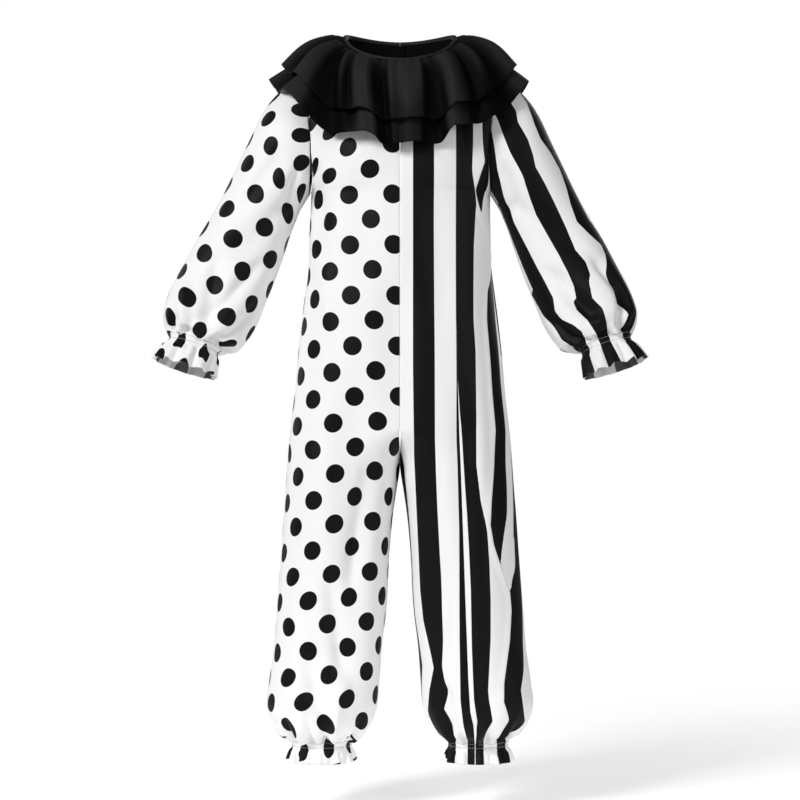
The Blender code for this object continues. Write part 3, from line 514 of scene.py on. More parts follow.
# Creases that run up from the ankle elastic: where along the panel's width each starts, how
# far it drifts sideways, how long it is and how far it stands out.
ANKLE_CREASES = tables(
    "place drift length lift",
    front_right=(
        (0.07, 0.03, 0.045, -0.0045), (0.15, -0.04, 0.075, 0.0035), (0.22, 0.05, 0.06, -0.006),
        (0.33, -0.02, 0.04, -0.004), (0.4, 0.06, 0.095, 0.004), (0.47, 0.02, 0.055, -0.006),
        (0.58, -0.05, 0.085, -0.005), (0.66, 0.03, 0.045, 0.004), (0.73, -0.02, 0.065, -0.0055),
        (0.84, 0.05, 0.05, -0.0045), (0.92, -0.03, 0.07, 0.003),
    ),
    front_left=(
        (0.1, -0.03, 0.06, -0.0055), (0.2, 0.04, 0.04, 0.003), (0.27, 0.02, 0.08, -0.006),
        (0.38, -0.03, 0.055, -0.0045), (0.48, 0.05, 0.07, 0.0035), (0.56, -0.02, 0.045, -0.0055),
        (0.67, 0.04, 0.09, -0.0055), (0.78, -0.04, 0.05, -0.005), (0.88, 0.02, 0.065, -0.004),
    ),
    back_right=(
        (0.09, 0.04, 0.065, -0.005), (0.19, -0.02, 0.045, -0.0045), (0.3, 0.03, 0.085, -0.006),
        (0.39, -0.05, 0.055, 0.0035), (0.51, 0.02, 0.06, -0.0055), (0.63, -0.03, 0.09, -0.005),
        (0.74, 0.05, 0.05, -0.005), (0.86, -0.02, 0.07, -0.0045),
    ),
    back_left=(
        (0.06, -0.02, 0.05, -0.0045), (0.17, 0.04, 0.075, -0.0055), (0.28, -0.03, 0.045, 0.003),
        (0.36, 0.05, 0.06, -0.0055), (0.49, -0.02, 0.085, -0.0055), (0.6, 0.03, 0.05, -0.005),
        (0.7, -0.04, 0.07, 0.0035), (0.81, 0.02, 0.055, -0.0055), (0.93, -0.03, 0.045, -0.004),
    ),
)
GATHER_WIDTH = 0.022
GATHER_STRENGTH = 1.5        # how many times further they stand out than the table says
GATHER_TAPER = 1.5           # more than 1 lets a crease run out more softly
GATHER_RISE = 0.004          # height over which a crease or pleat begins at the elastic
FRILL_CREASE = 0.0022        # small uneven pleats of the frill, strongest at the elastic
FRILL_CREASE_FADE = 0.020
ELASTIC_PINCH = 0.0030       # how far the elastic draws the cloth in
PINCH_REACH = 0.009
ANKLE_PLEATS = 17            # pleats round half an ankle's frill,
PLEAT_DRIFT = (0.7, 9)       # and how much they crowd together, and how often


def ankle_creases(panel, share, height):
    """How far a panel stands out in its own creases above the elastic and below it."""
    moved = np.zeros_like(share)
    above = height - ELASTIC_TOP
    for gather in ANKLE_CREASES[panel]:
        run = np.clip(above / gather.length, 0, 1)
        away = (share - gather.place - gather.drift * run) / (GATHER_WIDTH * (1 + run))
        lift = GATHER_STRENGTH * gather.lift * ease(above / GATHER_RISE)
        moved += lift * (1 - run) ** GATHER_TAPER * np.exp(-away ** 2)
    below = np.maximum(ELASTIC_BOTTOM - height, 0)
    drift = PLEAT_DRIFT[0] * np.sin(PLEAT_DRIFT[1] * share)
    pleats = np.cos(2 * math.pi * (ANKLE_PLEATS * share + drift))
    moved -= ELASTIC_PINCH * np.exp(-((height - THREAD_LINES[1]) / PINCH_REACH) ** 2)
    return moved + (FRILL_CREASE * pleats * ease(below / GATHER_RISE)
                    * np.exp(-below / FRILL_CREASE_FADE))


def panel_folds(panel, side, height):
    """How far a panel's soft folds move it out or in."""
    moved = np.zeros_like(side)
    for fold in PANEL_FOLDS[panel]:
        run = np.clip((fold.top - height) / (fold.top - fold.bottom), 0, 1)
        middle = fold.start + (fold.end - fold.start) * run
        ends = ease(run / FOLD_END) * ease((1 - run) / FOLD_END)
        moved += fold.depth * ends * np.exp(-((side - middle) / fold.width) ** 2)
    return moved


def ankle_gathers(share, height):
    """How far a panel stands out in the gathers round the ankle elastic and in the frill."""
    wave = np.cos(math.pi * ANKLE_WAVES * share)
    grow = np.clip((ELASTIC_BOTTOM - height) / (ELASTIC_BOTTOM - HEM_HEIGHT), 0, 1)
    above = np.maximum(height - ELASTIC_TOP, 0)
    full = ELASTIC_WAVE + (GATHER_WAVE - ELASTIC_WAVE) * ease(above / GATHER_START)
    upper = full * np.exp(-above / GATHER_FADE)
    return wave * np.where(height > ELASTIC_TOP, upper,
                           ELASTIC_WAVE + (FRILL_WAVE - ELASTIC_WAVE) * grow)


# --- how cloth is laid on a form

EDGE_TURN = (                # how a seam's edge turns in: distance from the seam, depth
    (0.00020, 0.0045), (0.00025, 0.0013), (0.00070, 0.0006), (0.00140, 0.0002), (0.00260, 0.0),
)
EDGE_PLACES, EDGE_DEPTHS = np.array(EDGE_TURN).T
EDGE_CLEAR = 0.0040          # the even columns begin here


def along(points):
    """Length along a row of points from its first one."""
    pieces = np.linalg.norm(np.diff(points, axis=0), axis=1)
    return np.concatenate(([0.0], np.cumsum(pieces)))


def surface_normals(grid):
    """Outward normals of a grid of points whose rows run down and columns anticlockwise."""
    across = np.gradient(grid, axis=1)
    down = np.gradient(grid, axis=0)
    return unit(np.cross(down, across))


def read_row(places, row, stops):
    """The values of a row, a line for each place along it, at other places along it."""
    return np.stack([np.interp(stops, places, row[:, axis]) for axis in range(row.shape[1])],
                    axis=-1)


def add_cloth(name, outside, inside, places, finishes, heights=None):
    """A thin closed shell of cloth between two grids of points, with the print's place on it.

    Heights, from 0 in a fold's valley to 1 on its crest, tell the finish where to paint shade and where
    to paint highlight into its colour.
    """
    rows, columns = outside.shape[:2]
    points = np.concatenate((outside.reshape(-1, 3), inside.reshape(-1, 3)))
    number = np.arange(rows * columns).reshape(rows, columns)
    inner = number + rows * columns

    def strip(first, second):
        return np.stack((first[:-1], first[1:], second[1:], second[:-1]), axis=-1)

    outer_faces = np.stack((number[:-1, :-1], number[1:, :-1], number[1:, 1:], number[:-1, 1:]),
                           axis=-1).reshape(-1, 4)
    inner_faces = np.stack((inner[:-1, :-1], inner[:-1, 1:], inner[1:, 1:], inner[1:, :-1]),
                           axis=-1).reshape(-1, 4)
    rims = (strip(number[0], inner[0]), strip(inner[-1], number[-1]),
            strip(inner[:, 0], number[:, 0]), strip(number[:, -1], inner[:, -1]))
    faces = np.concatenate((outer_faces, inner_faces) + rims)
    mesh = bpy.data.meshes.new(name)
    mesh.vertices.add(len(points))
    mesh.vertices.foreach_set("co", points.astype(np.float32).ravel())
    mesh.loops.add(faces.size)
    mesh.loops.foreach_set("vertex_index", faces.astype(np.int32).ravel())
    mesh.polygons.add(len(faces))
    mesh.polygons.foreach_set("loop_start", np.arange(0, faces.size, 4, dtype=np.int32))
    mesh.update(calc_edges=True)
    mesh.validate()
    layer = mesh.uv_layers.new(name="print")
    place = np.concatenate([places.reshape(-1, 2)] * 2)
    layer.data.foreach_set("uv", place[faces.ravel()].astype(np.float32).ravel())
    # the fold layer carries the heights for the painted light and shade
    if heights is not None:
        layer = mesh.uv_layers.new(name="fold")
        place = np.repeat(np.concatenate([heights.ravel()] * 2)[:, None], 2, axis=1)
        layer.data.foreach_set("uv", place[faces.ravel()].astype(np.float32).ravel())
    for finish in finishes:
        mesh.materials.append(finish)
    kinds = np.zeros(len(faces), np.int32)
    if len(finishes) > 1:
        kinds[len(outer_faces):len(outer_faces) + len(inner_faces)] = 1
    mesh.polygons.foreach_set("material_index", kinds)
    mesh.polygons.foreach_set("use_smooth", np.ones(len(faces), bool))
    piece = bpy.data.objects.new(name, mesh)
    bpy.context.scene.collection.objects.link(piece)
    return piece


def plain_strip(start, end, count):
    """Places and lifts of even columns that lie flat."""
    return np.linspace(start, end, count), np.zeros(count)


def seamed_row(length, *strips):
    """Places and lifts of a row's columns: its strips, and the seam edges that turn in."""
    stops, lifts = zip((EDGE_PLACES, -EDGE_DEPTHS), *strips,
                       (length - EDGE_PLACES[::-1], -EDGE_DEPTHS[::-1]))
    return np.concatenate(stops), np.concatenate(lifts)


def fit(cloth, node, slot_name, **sheet):
    """Attach a piece of cloth to the root, where it already lies, and hide its node's part."""
    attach(cloth, "root")
    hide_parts(node)


# --- prints

DOT_RADIUS = 0.0121
DOT_COLUMN = 0.0285          # from one column of dots to the next
DOT_ROW = 0.03205            # half the step down a column; the next column is dropped by it
STRIPE = 0.0280
PRINT_EDGE = 0.0004          # softness of the print's edge
SATIN_SHEEN = 0.12
THREAD_HEIGHT = 0.0002       # relief of the woven threads
WHITE_CLOTH = (0.88, 0.88, 0.885, 1.0)
BLACK_PRINT = (0.0035, 0.0035, 0.0038, 1.0)
WHITE_WRONG_SIDE = (0.85, 0.85, 0.86, 1.0)
BLACK_WRONG_SIDE = (0.12, 0.12, 0.125, 1.0)


def print_place(finish, layer="print"):
    """The place on the flat cloth, in metres, across and down."""
    spot = finish.node("UVMap", {"uv_map": layer})
    parts = finish.node("SeparateXYZ", Vector=spot.outputs["UV"])
    return Number(finish, parts.outputs["X"]), Number(finish, parts.outputs["Y"])


def dots(across, down):
    """1 inside the dots of a half-drop repeat; a dot stands where across and down are 0."""
    nearest = None
    for shift in (0.5, 0.0):
        side = ((across / (2 * DOT_COLUMN) + (shift + 100)).fraction() - 0.5) * (2 * DOT_COLUMN)
        fall = ((down / (2 * DOT_ROW) + (shift + 100)).fraction() - 0.5) * (2 * DOT_ROW)
        away = (side * side + fall * fall).root()
        nearest = away if nearest is None else nearest.least(away)
    return 1 - nearest.step(DOT_RADIUS - PRINT_EDGE / 2, DOT_RADIUS + PRINT_EDGE / 2)


def stripes(across, down):
    """1 inside the black stripes, which start at 0 and at every second stripe from there."""
    side = ((across / (2 * STRIPE) + 100.25).fraction() - 0.5).size() * (2 * STRIPE)
    return 1 - side.step(STRIPE / 2 - PRINT_EDGE / 2, STRIPE / 2 + PRINT_EDGE / 2)


def weave(finish, across, down, strength, pitch):
    """Fine threads as a bump, across and down."""
    turn = 2 * math.pi / pitch
    threads = (across * turn).wave() * 0.5 + (down * turn).wave() * 0.5
    bump = finish.node("Bump", Strength=strength, Distance=THREAD_HEIGHT, Height=threads)
    return bump.outputs["Normal"]


def printed_cloth(name, pattern, white, black, rough):
    """Satin with a black print."""
    cloth = Finish(name)
    across, down = print_place(cloth)
    mask = pattern(across, down)
    cloth.shade(Base_Color=cloth.blend(mask, white, black), Roughness=rough,
                Specular_IOR_Level=SATIN_SHEEN,
                Normal=weave(cloth, across, down, 0.2, 0.0007))
    return cloth.material


def both_sides(name, pattern):
    """The two sides of a printed cloth: the print shows weakly on the wrong side."""
    return (printed_cloth(name + "_face", pattern, WHITE_CLOTH, BLACK_PRINT, 0.5),
            printed_cloth(name + "_wrong_side", pattern, WHITE_WRONG_SIDE, BLACK_WRONG_SIDE, 0.7))


DOTTED = both_sides("dotted_cloth", dots)
STRIPED = both_sides("striped_cloth", stripes)

# --- the stitching along the elastic

STITCH = 0.0019
STITCH_PITCH = 0.0031
STITCH_HALF_WIDTH = 0.00028
STITCH_RISE = 0.0003
STITCH_SUNK = 0.0002
thread_finish = Finish("grey_thread")
thread_finish.shade(Base_Color=(0.30, 0.30, 0.30, 1.0), Roughness=0.7)
THREAD = thread_finish.material


def add_stitches(name, cloth_points, rows):
    """Short stitches that lie on a cloth's face, in lines along its rows."""
    facing = surface_normals(cloth_points)
    corners = []
    for place in rows:
        upper = int(place)
        part = place - upper
        line = cloth_points[upper] * (1 - part) + cloth_points[upper + 1] * part
        out_line = facing[upper] * (1 - part) + facing[upper + 1] * part
        lengths = along(line)
        starts = np.arange(EDGE_CLEAR, lengths[-1] - EDGE_CLEAR - STITCH, STITCH_PITCH)
        ends = np.stack((starts, starts + STITCH), axis=-1).ravel()
        points = read_row(lengths, line, ends)
        out = unit(read_row(lengths, out_line, ends))
        run = unit(np.repeat(points[1::2] - points[::2], 2, axis=0))
        wide = np.cross(out, run) * STITCH_HALF_WIDTH
        low, high = points - out * STITCH_SUNK, points + out * STITCH_RISE
        corners.append(np.stack((low - wide, low + wide, high + wide, high - wide),
                                axis=1).reshape(-1, 8, 3))
    corners = np.concatenate(corners)
    block = np.array(((0, 1, 2, 3), (7, 6, 5, 4), (0, 4, 5, 1), (1, 5, 6, 2), (2, 6, 7, 3),
                      (3, 7, 4, 0)))
    faces = (np.arange(len(corners))[:, None, None] * 8 + block).reshape(-1, 4)
    mesh = bpy.data.meshes.new(name)
    mesh.from_pydata(corners.reshape(-1, 3).tolist(), [], faces.tolist())
    mesh.materials.append(THREAD)
    stitches = bpy.data.objects.new(name, mesh)
    bpy.context.scene.collection.objects.link(stitches)
    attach(stitches, "root")


def sew_in(node, grid, places, flip, lines, **sheet):
    """A dotted or striped piece with its stitching; flip turns it over to its own side."""
    inside = grid - surface_normals(grid) * SHELL
    outside, inside = grid * flip, inside * flip
    if flip.prod() < 0:
        outside, inside, places = outside[:, ::-1], inside[:, ::-1], places[:, ::-1]
    dotted = node.endswith("right")
    slot_name = "dotted_cloth" if dotted else "striped_cloth"
    cloth = add_cloth(node + "_cloth", outside, inside, places, DOTTED if dotted else STRIPED)
    fit(cloth, node, slot_name, held="hung", **sheet)
    add_stitches(node + "_stitching", outside, lines)


# --- where the print lies on each panel

# Edges of the print are marked where the camera sees them: so many points down and to the
# right in its square picture.
PICTURE_POINTS = 800
PANEL_SAMPLES = 481
FRONT_FORWARD = 0.08         # about how far forward a front panel lies
FRONT_ROUNDS = 12            # rounds of moving a mark on to the panel


def in_picture(down, right, forward):
    """Depth below the neck and distance from the centre of a mark that lies so far forward."""
    point = PICTURE_WIDTH / PICTURE_POINTS * (1 - forward / CAMERA_DISTANCE)
    middle = PICTURE_POINTS / 2
    return (down - middle) * point - CAMERA_HEIGHT, (right - middle) * point


def on_front(down, right):
    """The same for a mark that lies on a front panel."""
    even = np.linspace(0, 1, PANEL_SAMPLES)
    forward = FRONT_FORWARD
    for number in range(FRONT_ROUNDS):
        depth, side = in_picture(down, right, forward)
        row = section("front", even, min(-depth, ARMPIT_HEIGHT))
        turn = int(np.argmax(row[:, 0]))
        forward = 0.0
        if abs(side) < row[turn, 0]:
            forward = -float(np.interp(abs(side), row[:turn + 1, 0], row[:turn + 1, 1]))
    return depth, abs(side)


def front_edge(*marks):
    """Depths, and distances from the centre, of an edge marked on a front panel."""
    return np.array([on_front(down, right) for down, right in marks]).T


# A column of dots on each dotted panel and the edge of a stripe on the striped back: depths
# below the neck, and how far from the centre the column or edge runs there.
GUIDES = {
    "front_right": front_edge(
        (140, 369.5), (219, 370.5), (321, 374), (422, 377.5), (473, 377.5), (523.5, 375.5),
        (573.5, 372.5), (622, 368.5), (673, 368.5), (724.5, 362), (763, 353.5),
    ),
    "back_right": ((0.126, 0.500, 0.600, 0.740, 0.871, 0.925),
                   (0.030, 0.030, 0.033, 0.042, 0.052, 0.062)),
    "back_left": ((0.126, 0.500, 0.600, 0.740, 0.871, 0.925),
                  (0.044, 0.044, 0.047, 0.053, 0.060, 0.068)),
}
DOT_START = 0.1614           # depth of a dot in the guide column of a dotted front
DOT_SAG = 0.0105             # how much lower the rows of dots lie at the side seams
SAG_WIDTH = 0.150
SAG_POWER = 1.6

# Edges of the stripes on the striped front: the strip of cloth each lies on, its count in
# stripes from the first black one, and its marks.
LINES_START = 0.130          # a line that starts above this depth runs on up to the shoulder,
LINES_END = 0.880            # and one that ends below this depth runs on down to the hem
FRONT_STRIPES = (
    (0, 0, front_edge(
        (140, 413), (370, 413), (455, 414), (500, 416), (545, 418), (590, 420), (620, 423), (650, 429),
        (668, 433), (690, 429), (712, 427.5), (722, 430), (735, 440), (744, 446), (765, 446),
    )),
    (0, 1, front_edge(
        (140, 434), (440, 435), (500, 437), (560, 439), (640, 440), (668, 441), (690, 445.5),
        (710, 441), (725, 447), (740, 455), (765, 453),
    )),
    (0, 2, front_edge(
        (140, 456), (320, 456.1), (440, 457), (530, 459), (640, 459), (700, 460), (725, 463),
        (742, 467), (765, 467),
    )),
    (1, 4, front_edge(
        (140, 456), (320, 456.2), (380, 457.7), (410, 460), (440, 463), (485, 465.5), (545, 469),
        (590, 471), (650, 472), (700, 474), (722, 477.5), (742, 475.7), (765, 475.6),
    )),
    (1, 5, front_edge(
        (140, 473), (170, 472), (205, 476), (245, 474), (320, 474), (350, 476), (465, 476), (500, 480),
        (530, 486), (560, 488.5), (600, 490), (640, 490), (690, 488), (722, 493), (742, 484),
        (765, 484),
    )),
    (2, 7, front_edge(
        (140, 495), (155, 496), (172, 490.5), (185, 488), (200, 483), (213, 481.7),
    )),
    (2, 9, front_edge(
        (275, 495), (305, 499), (335, 498), (365, 501), (425, 505), (485, 510), (515, 507), (545, 502),
        (561, 500.2),
    )),
    (2, 10, front_edge(
        (470, 514), (500, 516), (530, 518), (560, 517), (575, 513), (589, 510.8),
    )),
    (2, 11, front_edge(
        (575, 522), (590, 521), (612, 517), (650, 526), (690, 521), (722, 525), (740, 507),
        (765, 508.5),
    )),
)

# Two long folds of the striped front, where one strip of cloth laps over the next: marks on
# the folded edge, each with how far the lap stands open there.
INNER_LAP = (
    (140, 456, 0), (320, 456.3, 0), (380, 457.5, 0.35), (425, 459.5, 0.8), (485, 461.5, 1),
    (545, 463.5, 1), (620, 466, 0.9), (680, 468, 0.7), (712, 470, 0.4), (725, 473, 0.2), (742, 475, 0),
    (765, 475, 0),
)
OUTER_LAP = (
    (93, 487, 0), (140, 487, 0.6), (155, 487, 0.9), (172, 481, 1), (190, 475, 1), (200, 477, 0.9),
    (214, 481, 0.8), (230, 486, 0.9), (257, 491.5, 0.7), (290, 489.5, 0.7), (320, 489, 0.8),
    (357, 492, 0.9), (395, 494, 1), (430, 497, 1), (465, 495, 0.9), (500, 491, 0.8), (525, 489.5, 0.8),
    (545, 493, 0.9), (560, 498, 1), (577, 504, 1), (592, 509.5, 0.9), (610, 511, 0.9),
    (640, 509.5, 0.9), (682, 504, 0.8), (702, 504, 0.6), (722, 511, 0.3), (732, 505, 0.1),
    (742, 498, 0), (765, 498, 0),
)
LAPS = [(front_edge(*(mark[:2] for mark in lap)), [mark[2] for mark in lap])
        for lap in (INNER_LAP, OUTER_LAP)]

# The print's count just past the outer lap, which hides up to four stripes: depths below
# the neck, and the count there.
HIDDEN = ((0.060, 0.187, 0.217, 0.243, 0.261, 0.287, 0.624, 0.665, 0.700, 0.925),
          (6.0, 6.0, 7.0, 8.0, 8.4, 8.0, 8.0, 9.0, 10.0, 10.0))
MOST_BETWEEN = 5.98          # the count stays below this between the laps
LINE_GAP = 0.001             # least distance between two lines of a row

# Section of a lap, from the cloth that goes under to the cloth that lies on top: along the
# panel when it is open and when it is flat, and out from it.
LAP = (
    (-0.007, -0.007, 0), (-0.003, -0.003, -0.0002), (0, -0.0012, -0.0006), (0.0022, -0.0003, -0.001),
    (0.0026, -0.00005, -0.0005), (0.0012, 0.00005, 0.0002), (0.0002, 0.0003, 0.0006),
    (0, 0.0006, 0.0011), (0.0006, 0.0012, 0.0015), (0.0025, 0.0028, 0.0014), (0.006, 0.006, 0.0008),
    (0.01, 0.01, 0),
)
LAP_UNDER = 4                # points of a lap that still belong to the cloth underneath
LAP_ROOM = 0.0105            # least distance from a lap to the seam's even columns
LAP_CLEAR = 0.0015           # the even columns between the laps keep this far from them

PANEL_COLUMNS = 108
STRIP_COLUMNS = (44, 16, 40)
YOKE_STEPS = 44
BODY_STEPS = 170
FRILL_STEPS = 20
FRILL_START = -0.880         # height from which the rows of the ankle lie closer


def panel_form(depth_name):
    """The plain form of a left panel, in the quarter of +X and -Y: rows of sample points."""
    even = np.linspace(0, 1, PANEL_SAMPLES)
    rows = [yoke(depth_name, even, step / YOKE_STEPS) for step in range(YOKE_STEPS)]
    heights = np.linspace(ARMPIT_HEIGHT, FRILL_START, BODY_STEPS)
    low = np.linspace(FRILL_START, HEM_HEIGHT, FRILL_STEPS + 1)[1:]
    rows += [section(depth_name, even, float(height)) for height in np.concatenate((heights, low))]
    form = np.array(rows)
    if depth_name == "back":
        form[..., 1] *= -1
    return form


def crossing(row, lengths, depths, sides):
    """Where a line down the panel crosses a row, as a length along it; None past its ends."""
    depth = -row[:, 2]
    gap = row[:, 0] - np.interp(depth, depths, sides)
    turn = int(np.argmax(row[:, 0]))
    past = np.nonzero(gap[:turn + 1] >= 0)[0]
    if not len(past):
        return None
    first = past[0]
    if depth[first] < depths[0] and depths[0] > LINES_START:
        return None
    if depth[first] > depths[-1] and depths[-1] < LINES_END:
        return None
    if first == 0:
        return 0.0
    part = -gap[first - 1] / (gap[first] - gap[first - 1])
    return lengths[first - 1] + part * (lengths[first] - lengths[first - 1])


def count_print(stops, knots):
    """The print's count at places along a row, through known places and natural beyond."""
    places = np.array([place for place, count in knots])
    counts = np.array([count for place, count in knots])
    count = np.interp(stops, places, counts)
    count = count + np.minimum(stops - places[0], 0) / STRIPE
    return count + np.maximum(stops - places[-1], 0) / STRIPE


SIDE_FROM = 0.82             # where cloth faces sideways by this much the stripes start to
SIDE_OVER = 0.15             # grow even, and by this much more they are,
EVEN_ROWS = 30               # each with so many rows above and below it


def evened(across, behind):
    """Stripes evened out along their length as far as they lie behind the outer edge."""
    padded = np.pad(across, ((EVEN_ROWS, EVEN_ROWS), (0, 0)), mode="edge")
    total = sum(padded[shift:shift + len(across)] for shift in range(2 * EVEN_ROWS + 1))
    return across * (1 - behind) + total / (2 * EVEN_ROWS + 1) * behind


def guided_row(panel, row, lengths):
    """Columns of a panel without laps: places, lifts and the print's place across."""
    length = lengths[-1]
    stops, lifts = seamed_row(length, plain_strip(EDGE_CLEAR, length - EDGE_CLEAR, PANEL_COLUMNS))
    side = np.interp(-row[0, 2], *GUIDES[panel])
    turn = int(np.argmax(row[:, 0]))
    place = np.interp(side, row[:turn + 1, 0], lengths[:turn + 1])
    return stops, lifts, stops - place


def lapped_row(row, lengths):
    """Columns of the striped front, with its two laps."""
    length = lengths[-1]
    depth = -row[0, 2]
    found = []
    for (depths, sides), openings in LAPS:
        place = crossing(row, lengths, depths, sides)
        found.append(min(place, length - EDGE_CLEAR - LAP_ROOM))
        found.append(np.interp(depth, depths, openings))
    inner, inner_open, outer, outer_open = found
    opens, flats, outs = np.array(LAP).T
    before, after = LAP_CLEAR - flats[0], LAP_CLEAR + flats[-1]
    stops, lifts = seamed_row(
        length,
        plain_strip(EDGE_CLEAR, inner - before, STRIP_COLUMNS[0]),
        (inner + flats + (opens - flats) * inner_open, outs * inner_open),
        plain_strip(inner + after, outer - after, STRIP_COLUMNS[1]),
        (outer - (flats + (opens - flats) * outer_open)[::-1], (outs * outer_open)[::-1]),
        plain_strip(outer + before, length - EDGE_CLEAR, STRIP_COLUMNS[2]))
    first = len(EDGE_TURN) + STRIP_COLUMNS[0] + LAP_UNDER
    second = first + 2 * (len(LAP) - LAP_UNDER) + STRIP_COLUMNS[1]
    knots = ([], [], [(outer, float(np.interp(depth, *HIDDEN)))])
    for strip, count, (depths, sides) in FRONT_STRIPES:
        place = crossing(row, lengths, depths, sides)
        reached = knots[strip][-1][0] if knots[strip] else -length
        if place is not None and place > reached + LINE_GAP:
            knots[strip].append((place, count))
    parts = (stops[:first], stops[first:second], stops[second:])
    counts = np.concatenate([count_print(part, line) for part, line in zip(parts, knots)])
    counts[first:second] = np.minimum(counts[first:second], MOST_BETWEEN)
    return stops, lifts, counts * STRIPE


ANKLE_ROWS = -60             # the widest row of a leg's puff is one of the last so many
GATHERED_PRINT = 0.8         # how much closer the gathered print stands at the ankle
FACED_ROWS = 14              # rows whose seam edge lies behind the neck facing,
FACED_TURN = 0.0020          # and how far it turns in there


def build_panel(panel, form):
    """One body panel, worked out on the wearer's left and turned over for the right."""
    depth_name, side_name = panel.split("_")
    normals = surface_normals(form)
    grid, places, behind = [], [], []
    even = np.linspace(0, 1, PANEL_SAMPLES)
    spans = np.array([along(row)[-1] for row in form])
    widest = len(spans) + ANKLE_ROWS + int(np.argmax(spans[ANKLE_ROWS:]))
    for number, (row, facing) in enumerate(zip(form, normals)):
        lengths = along(row)
        if panel == "front_left":
            stops, lifts, across = lapped_row(row, lengths)
        else:
            stops, lifts, across = guided_row(panel, row, lengths)
            if number > widest:
                across = across * (spans[widest] / spans[number]) ** GATHERED_PRINT
        if number < FACED_ROWS:
            lifts[0] = -FACED_TURN
        points = read_row(lengths, row, stops)
        out = unit(read_row(lengths, facing, stops))
        behind.append(ease((out[:, 0] - SIDE_FROM) / SIDE_OVER))
        share = np.interp(stops, lengths, even)
        height = points[:, 2].copy()
        moved = panel_folds(panel, points[:, 0], height)
        moved += np.where(height < ARMPIT_HEIGHT, ankle_gathers(share, height), 0)
        moved += ankle_creases(panel, share, height)
        grid.append(points + out * (lifts + moved)[:, None])
        sag = DOT_SAG * (np.abs(across) / SAG_WIDTH) ** SAG_POWER
        places.append(np.stack((across, -height - sag - DOT_START), axis=-1))
    grid, places, behind = np.array(grid), np.array(places), np.array(behind)
    if panel == "front_left":
        places[..., 0] = evened(places[..., 0], behind)
    for row in range(YOKE_STEPS - 1, -1, -1):
        step = np.linalg.norm(grid[row + 1] - grid[row], axis=-1)
        places[row, :, 1] = places[row + 1, :, 1] - step
    flip = np.array((-1 if side_name == "right" else 1, -1 if depth_name == "back" else 1, 1))
    depths = -grid[:, grid.shape[1] // 2, 2]
    lines = [float(np.interp(-height, depths, np.arange(len(depths)))) for height in THREAD_LINES]
    sew_in(panel, grid, places, flip, lines, flat=(0.26, 0.97), area=0.20,
           rests_on=["neck_binding_roll"])


for depth_name in ("front", "back"):
    plain_form = panel_form(depth_name)
    for side_name in ("right", "left"):
        build_panel(depth_name + "_" + side_name, plain_form)


# ================================================================ sleeves
# One piece each, with a seam under the arm, set into a scooped armhole.  The right one is
# dotted and the left one striped down its length.  Each is drawn in by elastic at the wrist
# and ends in a frill, in one with it.

SLEEVE_FLAT_FROM = 0.25      # sleeve rows over which the armhole seam's rows crowd together,
ARMHOLE_CROWD = (0, 0.08, 0.2, 0.4, 0.65)        # and where they lie, as shares of that
WRIST_LINES = (12.96, 13.5)  # sleeve rows of the two lines of stitches round each wrist
SLEEVE_STEPS = 168
SLEEVE_COLUMNS = 176
SLEEVE_SAMPLES = 721
WRIST_WAVES = 12
WRIST_ELASTIC = 13
WRIST_FADE_ROWS = 1.2
ELASTIC_STEP = 0.012         # length of one sleeve row below the elastic
FULL_SLEEVE_ROW = 10         # below this row the cloth is gathered, not narrower
SQUARE_ROW = 8               # the row that lies square to the grain of the cloth

# Folds of each sleeve: the angles each starts and ends at, the sleeve rows between which it
# runs, how far it moves the cloth out and half its width in degrees.
SLEEVE_FOLDS = tables(
    "start end first last depth width",
    right=(
        (145, 80, 4, 9, -0.004, 16), (60, 75, 8, 12.8, -0.0035, 18), (240, 290, 4, 9, -0.0035, 18),
    ),
    left=(
        (150, 60, 4, 9, -0.004, 16), (110, 95, 8, 12.8, -0.0035, 18), (250, 300, 4, 9, -0.0035, 18),
    ),
)

# Softer creases of the worn sleeves, in the same way but before they are deepened.
SLEEVE_CREASES = tables(
    "start end first last depth width",
    right=(
        (118, 136, 1, 6, -0.003, 9), (70, 108, 8, 12.6, -0.005, 11), (128, 88, 7.5, 11.5, -0.0045, 10),
        (44, 78, 9.5, 12.8, 0.004, 10), (152, 120, 9, 12.6, -0.004, 9), (96, 70, 2, 7, -0.0025, 12),
        (225, 262, 8, 12.4, -0.0045, 12), (300, 272, 9, 12.7, -0.004, 11), (205, 230, 2, 7, -0.003, 12),
    ),
    left=(
        (112, 132, 1, 6, -0.003, 9), (62, 30, 8.4, 11.6, -0.0045, 10), (120, 84, 8, 11.5, -0.005, 11),
        (40, 66, 10, 12.8, -0.005, 9), (84, 100, 10.5, 12.9, 0.004, 9),
        (150, 128, 9.5, 12.7, -0.0045, 9), (236, 268, 8, 12.5, -0.0045, 12),
        (312, 280, 9, 12.6, -0.004, 11), (250, 222, 2, 7, -0.003, 12),
    ),
)
SLEEVE_RELIEF = {side: SLEEVE_FOLDS[side] + deepened(SLEEVE_CREASES[side]) for side in SLEEVE_FOLDS}

